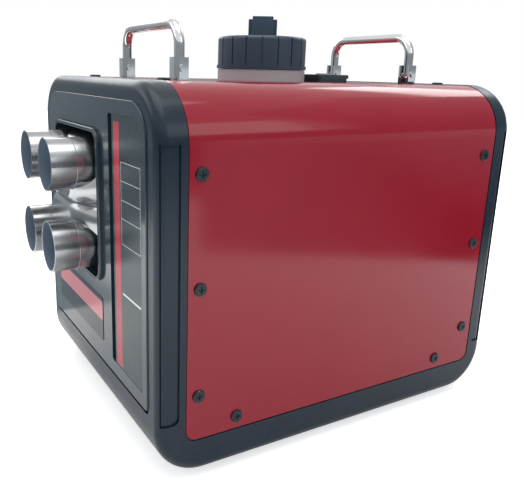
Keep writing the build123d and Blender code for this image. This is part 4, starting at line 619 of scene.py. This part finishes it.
# ------------------------------------------------------------------ handles
# Each handle is a bent steel rod whose two legs turn on pins in brackets bolted through the
# lid. Rods, brackets and pins are all bright chromium plated.
chrome = metal("chrome", (0.71, 0.69, 0.69), 0.07, (60, 60, 60), 0.000005, 0.94)
dress(chrome, "front_handle", "rear_handle", "handle_brackets", "handle_pins")

# ------------------------------------------------------------------ filler, tank and rubber parts
# The cap and its knob are black moulded plastic, and the ring under them is pale grey. The
# tank is blown from milky plastic, and its neck carries a seal of the same soft rubber as
# the feet, the gasket and the hoses.
cap_moulding = moulded("cap_moulding", (0.028, 0.056, 0.090), 0.38, 1100.0)
dress(cap_moulding, "filler_cap", "cap_knob")
pale_moulding = moulded("pale_moulding", (0.46, 0.47, 0.49), 0.40, 900.0, 0.00003, 0.02)
dress(pale_moulding, "filler_ring")
milky_plastic = moulded("milky_plastic", (0.66, 0.65, 0.60), 0.35, 300.0, 0.0001, 0.02)
dress(milky_plastic, "fuel_tank", "fuel_filter")
soft_rubber = moulded("soft_rubber", (0.022, 0.022, 0.023), 0.75, 700.0, 0.0001, 0.12)
dress(
    soft_rubber,
    "cap_seal",
    "feet",
    "fuel_pump_mount",
    "exchanger_gasket",
    "fuel_lines",
    "wiring",
)

# ------------------------------------------------------------------ controls
# A dark display window and four grey rubber buttons set in the bezel on the lid, with the
# lacquered circuit board beneath them. Each button carries a raised mark.
glass_deep, glass_pale = (0.010, 0.014, 0.020), (0.014, 0.020, 0.028)
window_glass, tree, shader, place = finish("window_glass")
skin = effect(tree, grain, place, Pit_Scale=300.0)
wire(tree, blend(tree, skin["Patch"], glass_deep, glass_pale), shader.inputs["Base Color"])
roughen(tree, shader, skin["Patch"], 0.05, 0.09)
shader.inputs["Coat Weight"].default_value = 1.0
dress(window_glass, "control_screen")
button_rubber = moulded("button_rubber", (0.28, 0.29, 0.30), 0.55, 1300.0)
dress(button_rubber, "button_power", "button_up", "button_ok", "button_down")
mark_ink = moulded("mark_ink", (0.62, 0.63, 0.64), 0.50, 1300.0)
ring_radius, ring_width = 0.0015, 0.0004
solid_radius, solid_shrink = 0.0013, 0.8
mark_rise = 0.00012
for button, sides, start_at, hollow in (
    ("button_power", 24, 0, True),
    ("button_up", 3, 0, False),
    ("button_ok", 24, 0, False),
    ("button_down", 3, pi, False),
):
    key_low, key_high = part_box(button)
    mark = bmesh.new()
    mark_radius = ring_radius if hollow else solid_radius
    bmesh.ops.create_circle(mark, cap_ends=True, segments=sides, radius=mark_radius)
    if hollow:
        rim = bmesh.ops.inset_region(
            mark, faces=mark.faces[:], thickness=ring_width, use_boundary=True, use_even_offset=True
        )
        middle = [face for face in mark.faces if face not in rim["faces"]]
        bmesh.ops.delete(mark, geom=middle, context="FACES")
    else:
        bmesh.ops.scale(mark, verts=mark.verts, vec=(solid_shrink, solid_shrink, 1))
    raised = bmesh.ops.extrude_face_region(mark, geom=mark.faces[:])
    lifted = [item for item in raised["geom"] if isinstance(item, bmesh.types.BMVert)]
    bmesh.ops.translate(mark, verts=lifted, vec=(0, 0, mark_rise))
    bmesh.ops.rotate(mark, verts=mark.verts, matrix=Matrix.Rotation(start_at, 3, "Z"))
    key_middle = ((key_low[0] + key_high[0]) / 2, (key_low[1] + key_high[1]) / 2, key_high[2])
    bmesh.ops.translate(mark, verts=mark.verts, vec=key_middle)
    bmesh.ops.recalc_face_normals(mark, faces=mark.faces)
    sign = placed(button + "_mark", mark)
    sign.data.materials.append(mark_ink)
    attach(sign, button)
board_lacquer = moulded("board_lacquer", (0.015, 0.11, 0.045), 0.30, 600.0)
dress(board_lacquer, "control_board")

# ------------------------------------------------------------------ heater core and fuel system
# Cast aluminium for the exchanger and blower, steel for the burner, motor and pump, and
# glass-filled black plastic for the shells round them.
cast_metal = metal("cast_metal", (0.52, 0.52, 0.51), 0.50, (500, 500, 500), 0.00012, 0.9)
dress(cast_metal, "heat_exchanger", "blower_housing", "combustion_fan")
plated_steel = metal("plated_steel", (0.55, 0.55, 0.56), 0.30, (900, 60, 900))
dress(
    plated_steel,
    "burner",
    "glow_plug",
    "blower_motor",
    "motor_rotor",
    "overheat_sensor",
    "fuel_pump_body",
    "fuel_pump_plunger",
    "exhaust_pipe",
    "intake_pipe",
)
core_moulding = moulded("core_moulding", (0.030, 0.030, 0.032), 0.55, 800.0, 0.00008)
dress(
    core_moulding,
    "core_lower_shell",
    "core_upper_shell",
    "hot_air_fan",
    "control_unit",
    "fuel_pickup",
    "power_inlet",
)

low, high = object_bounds()
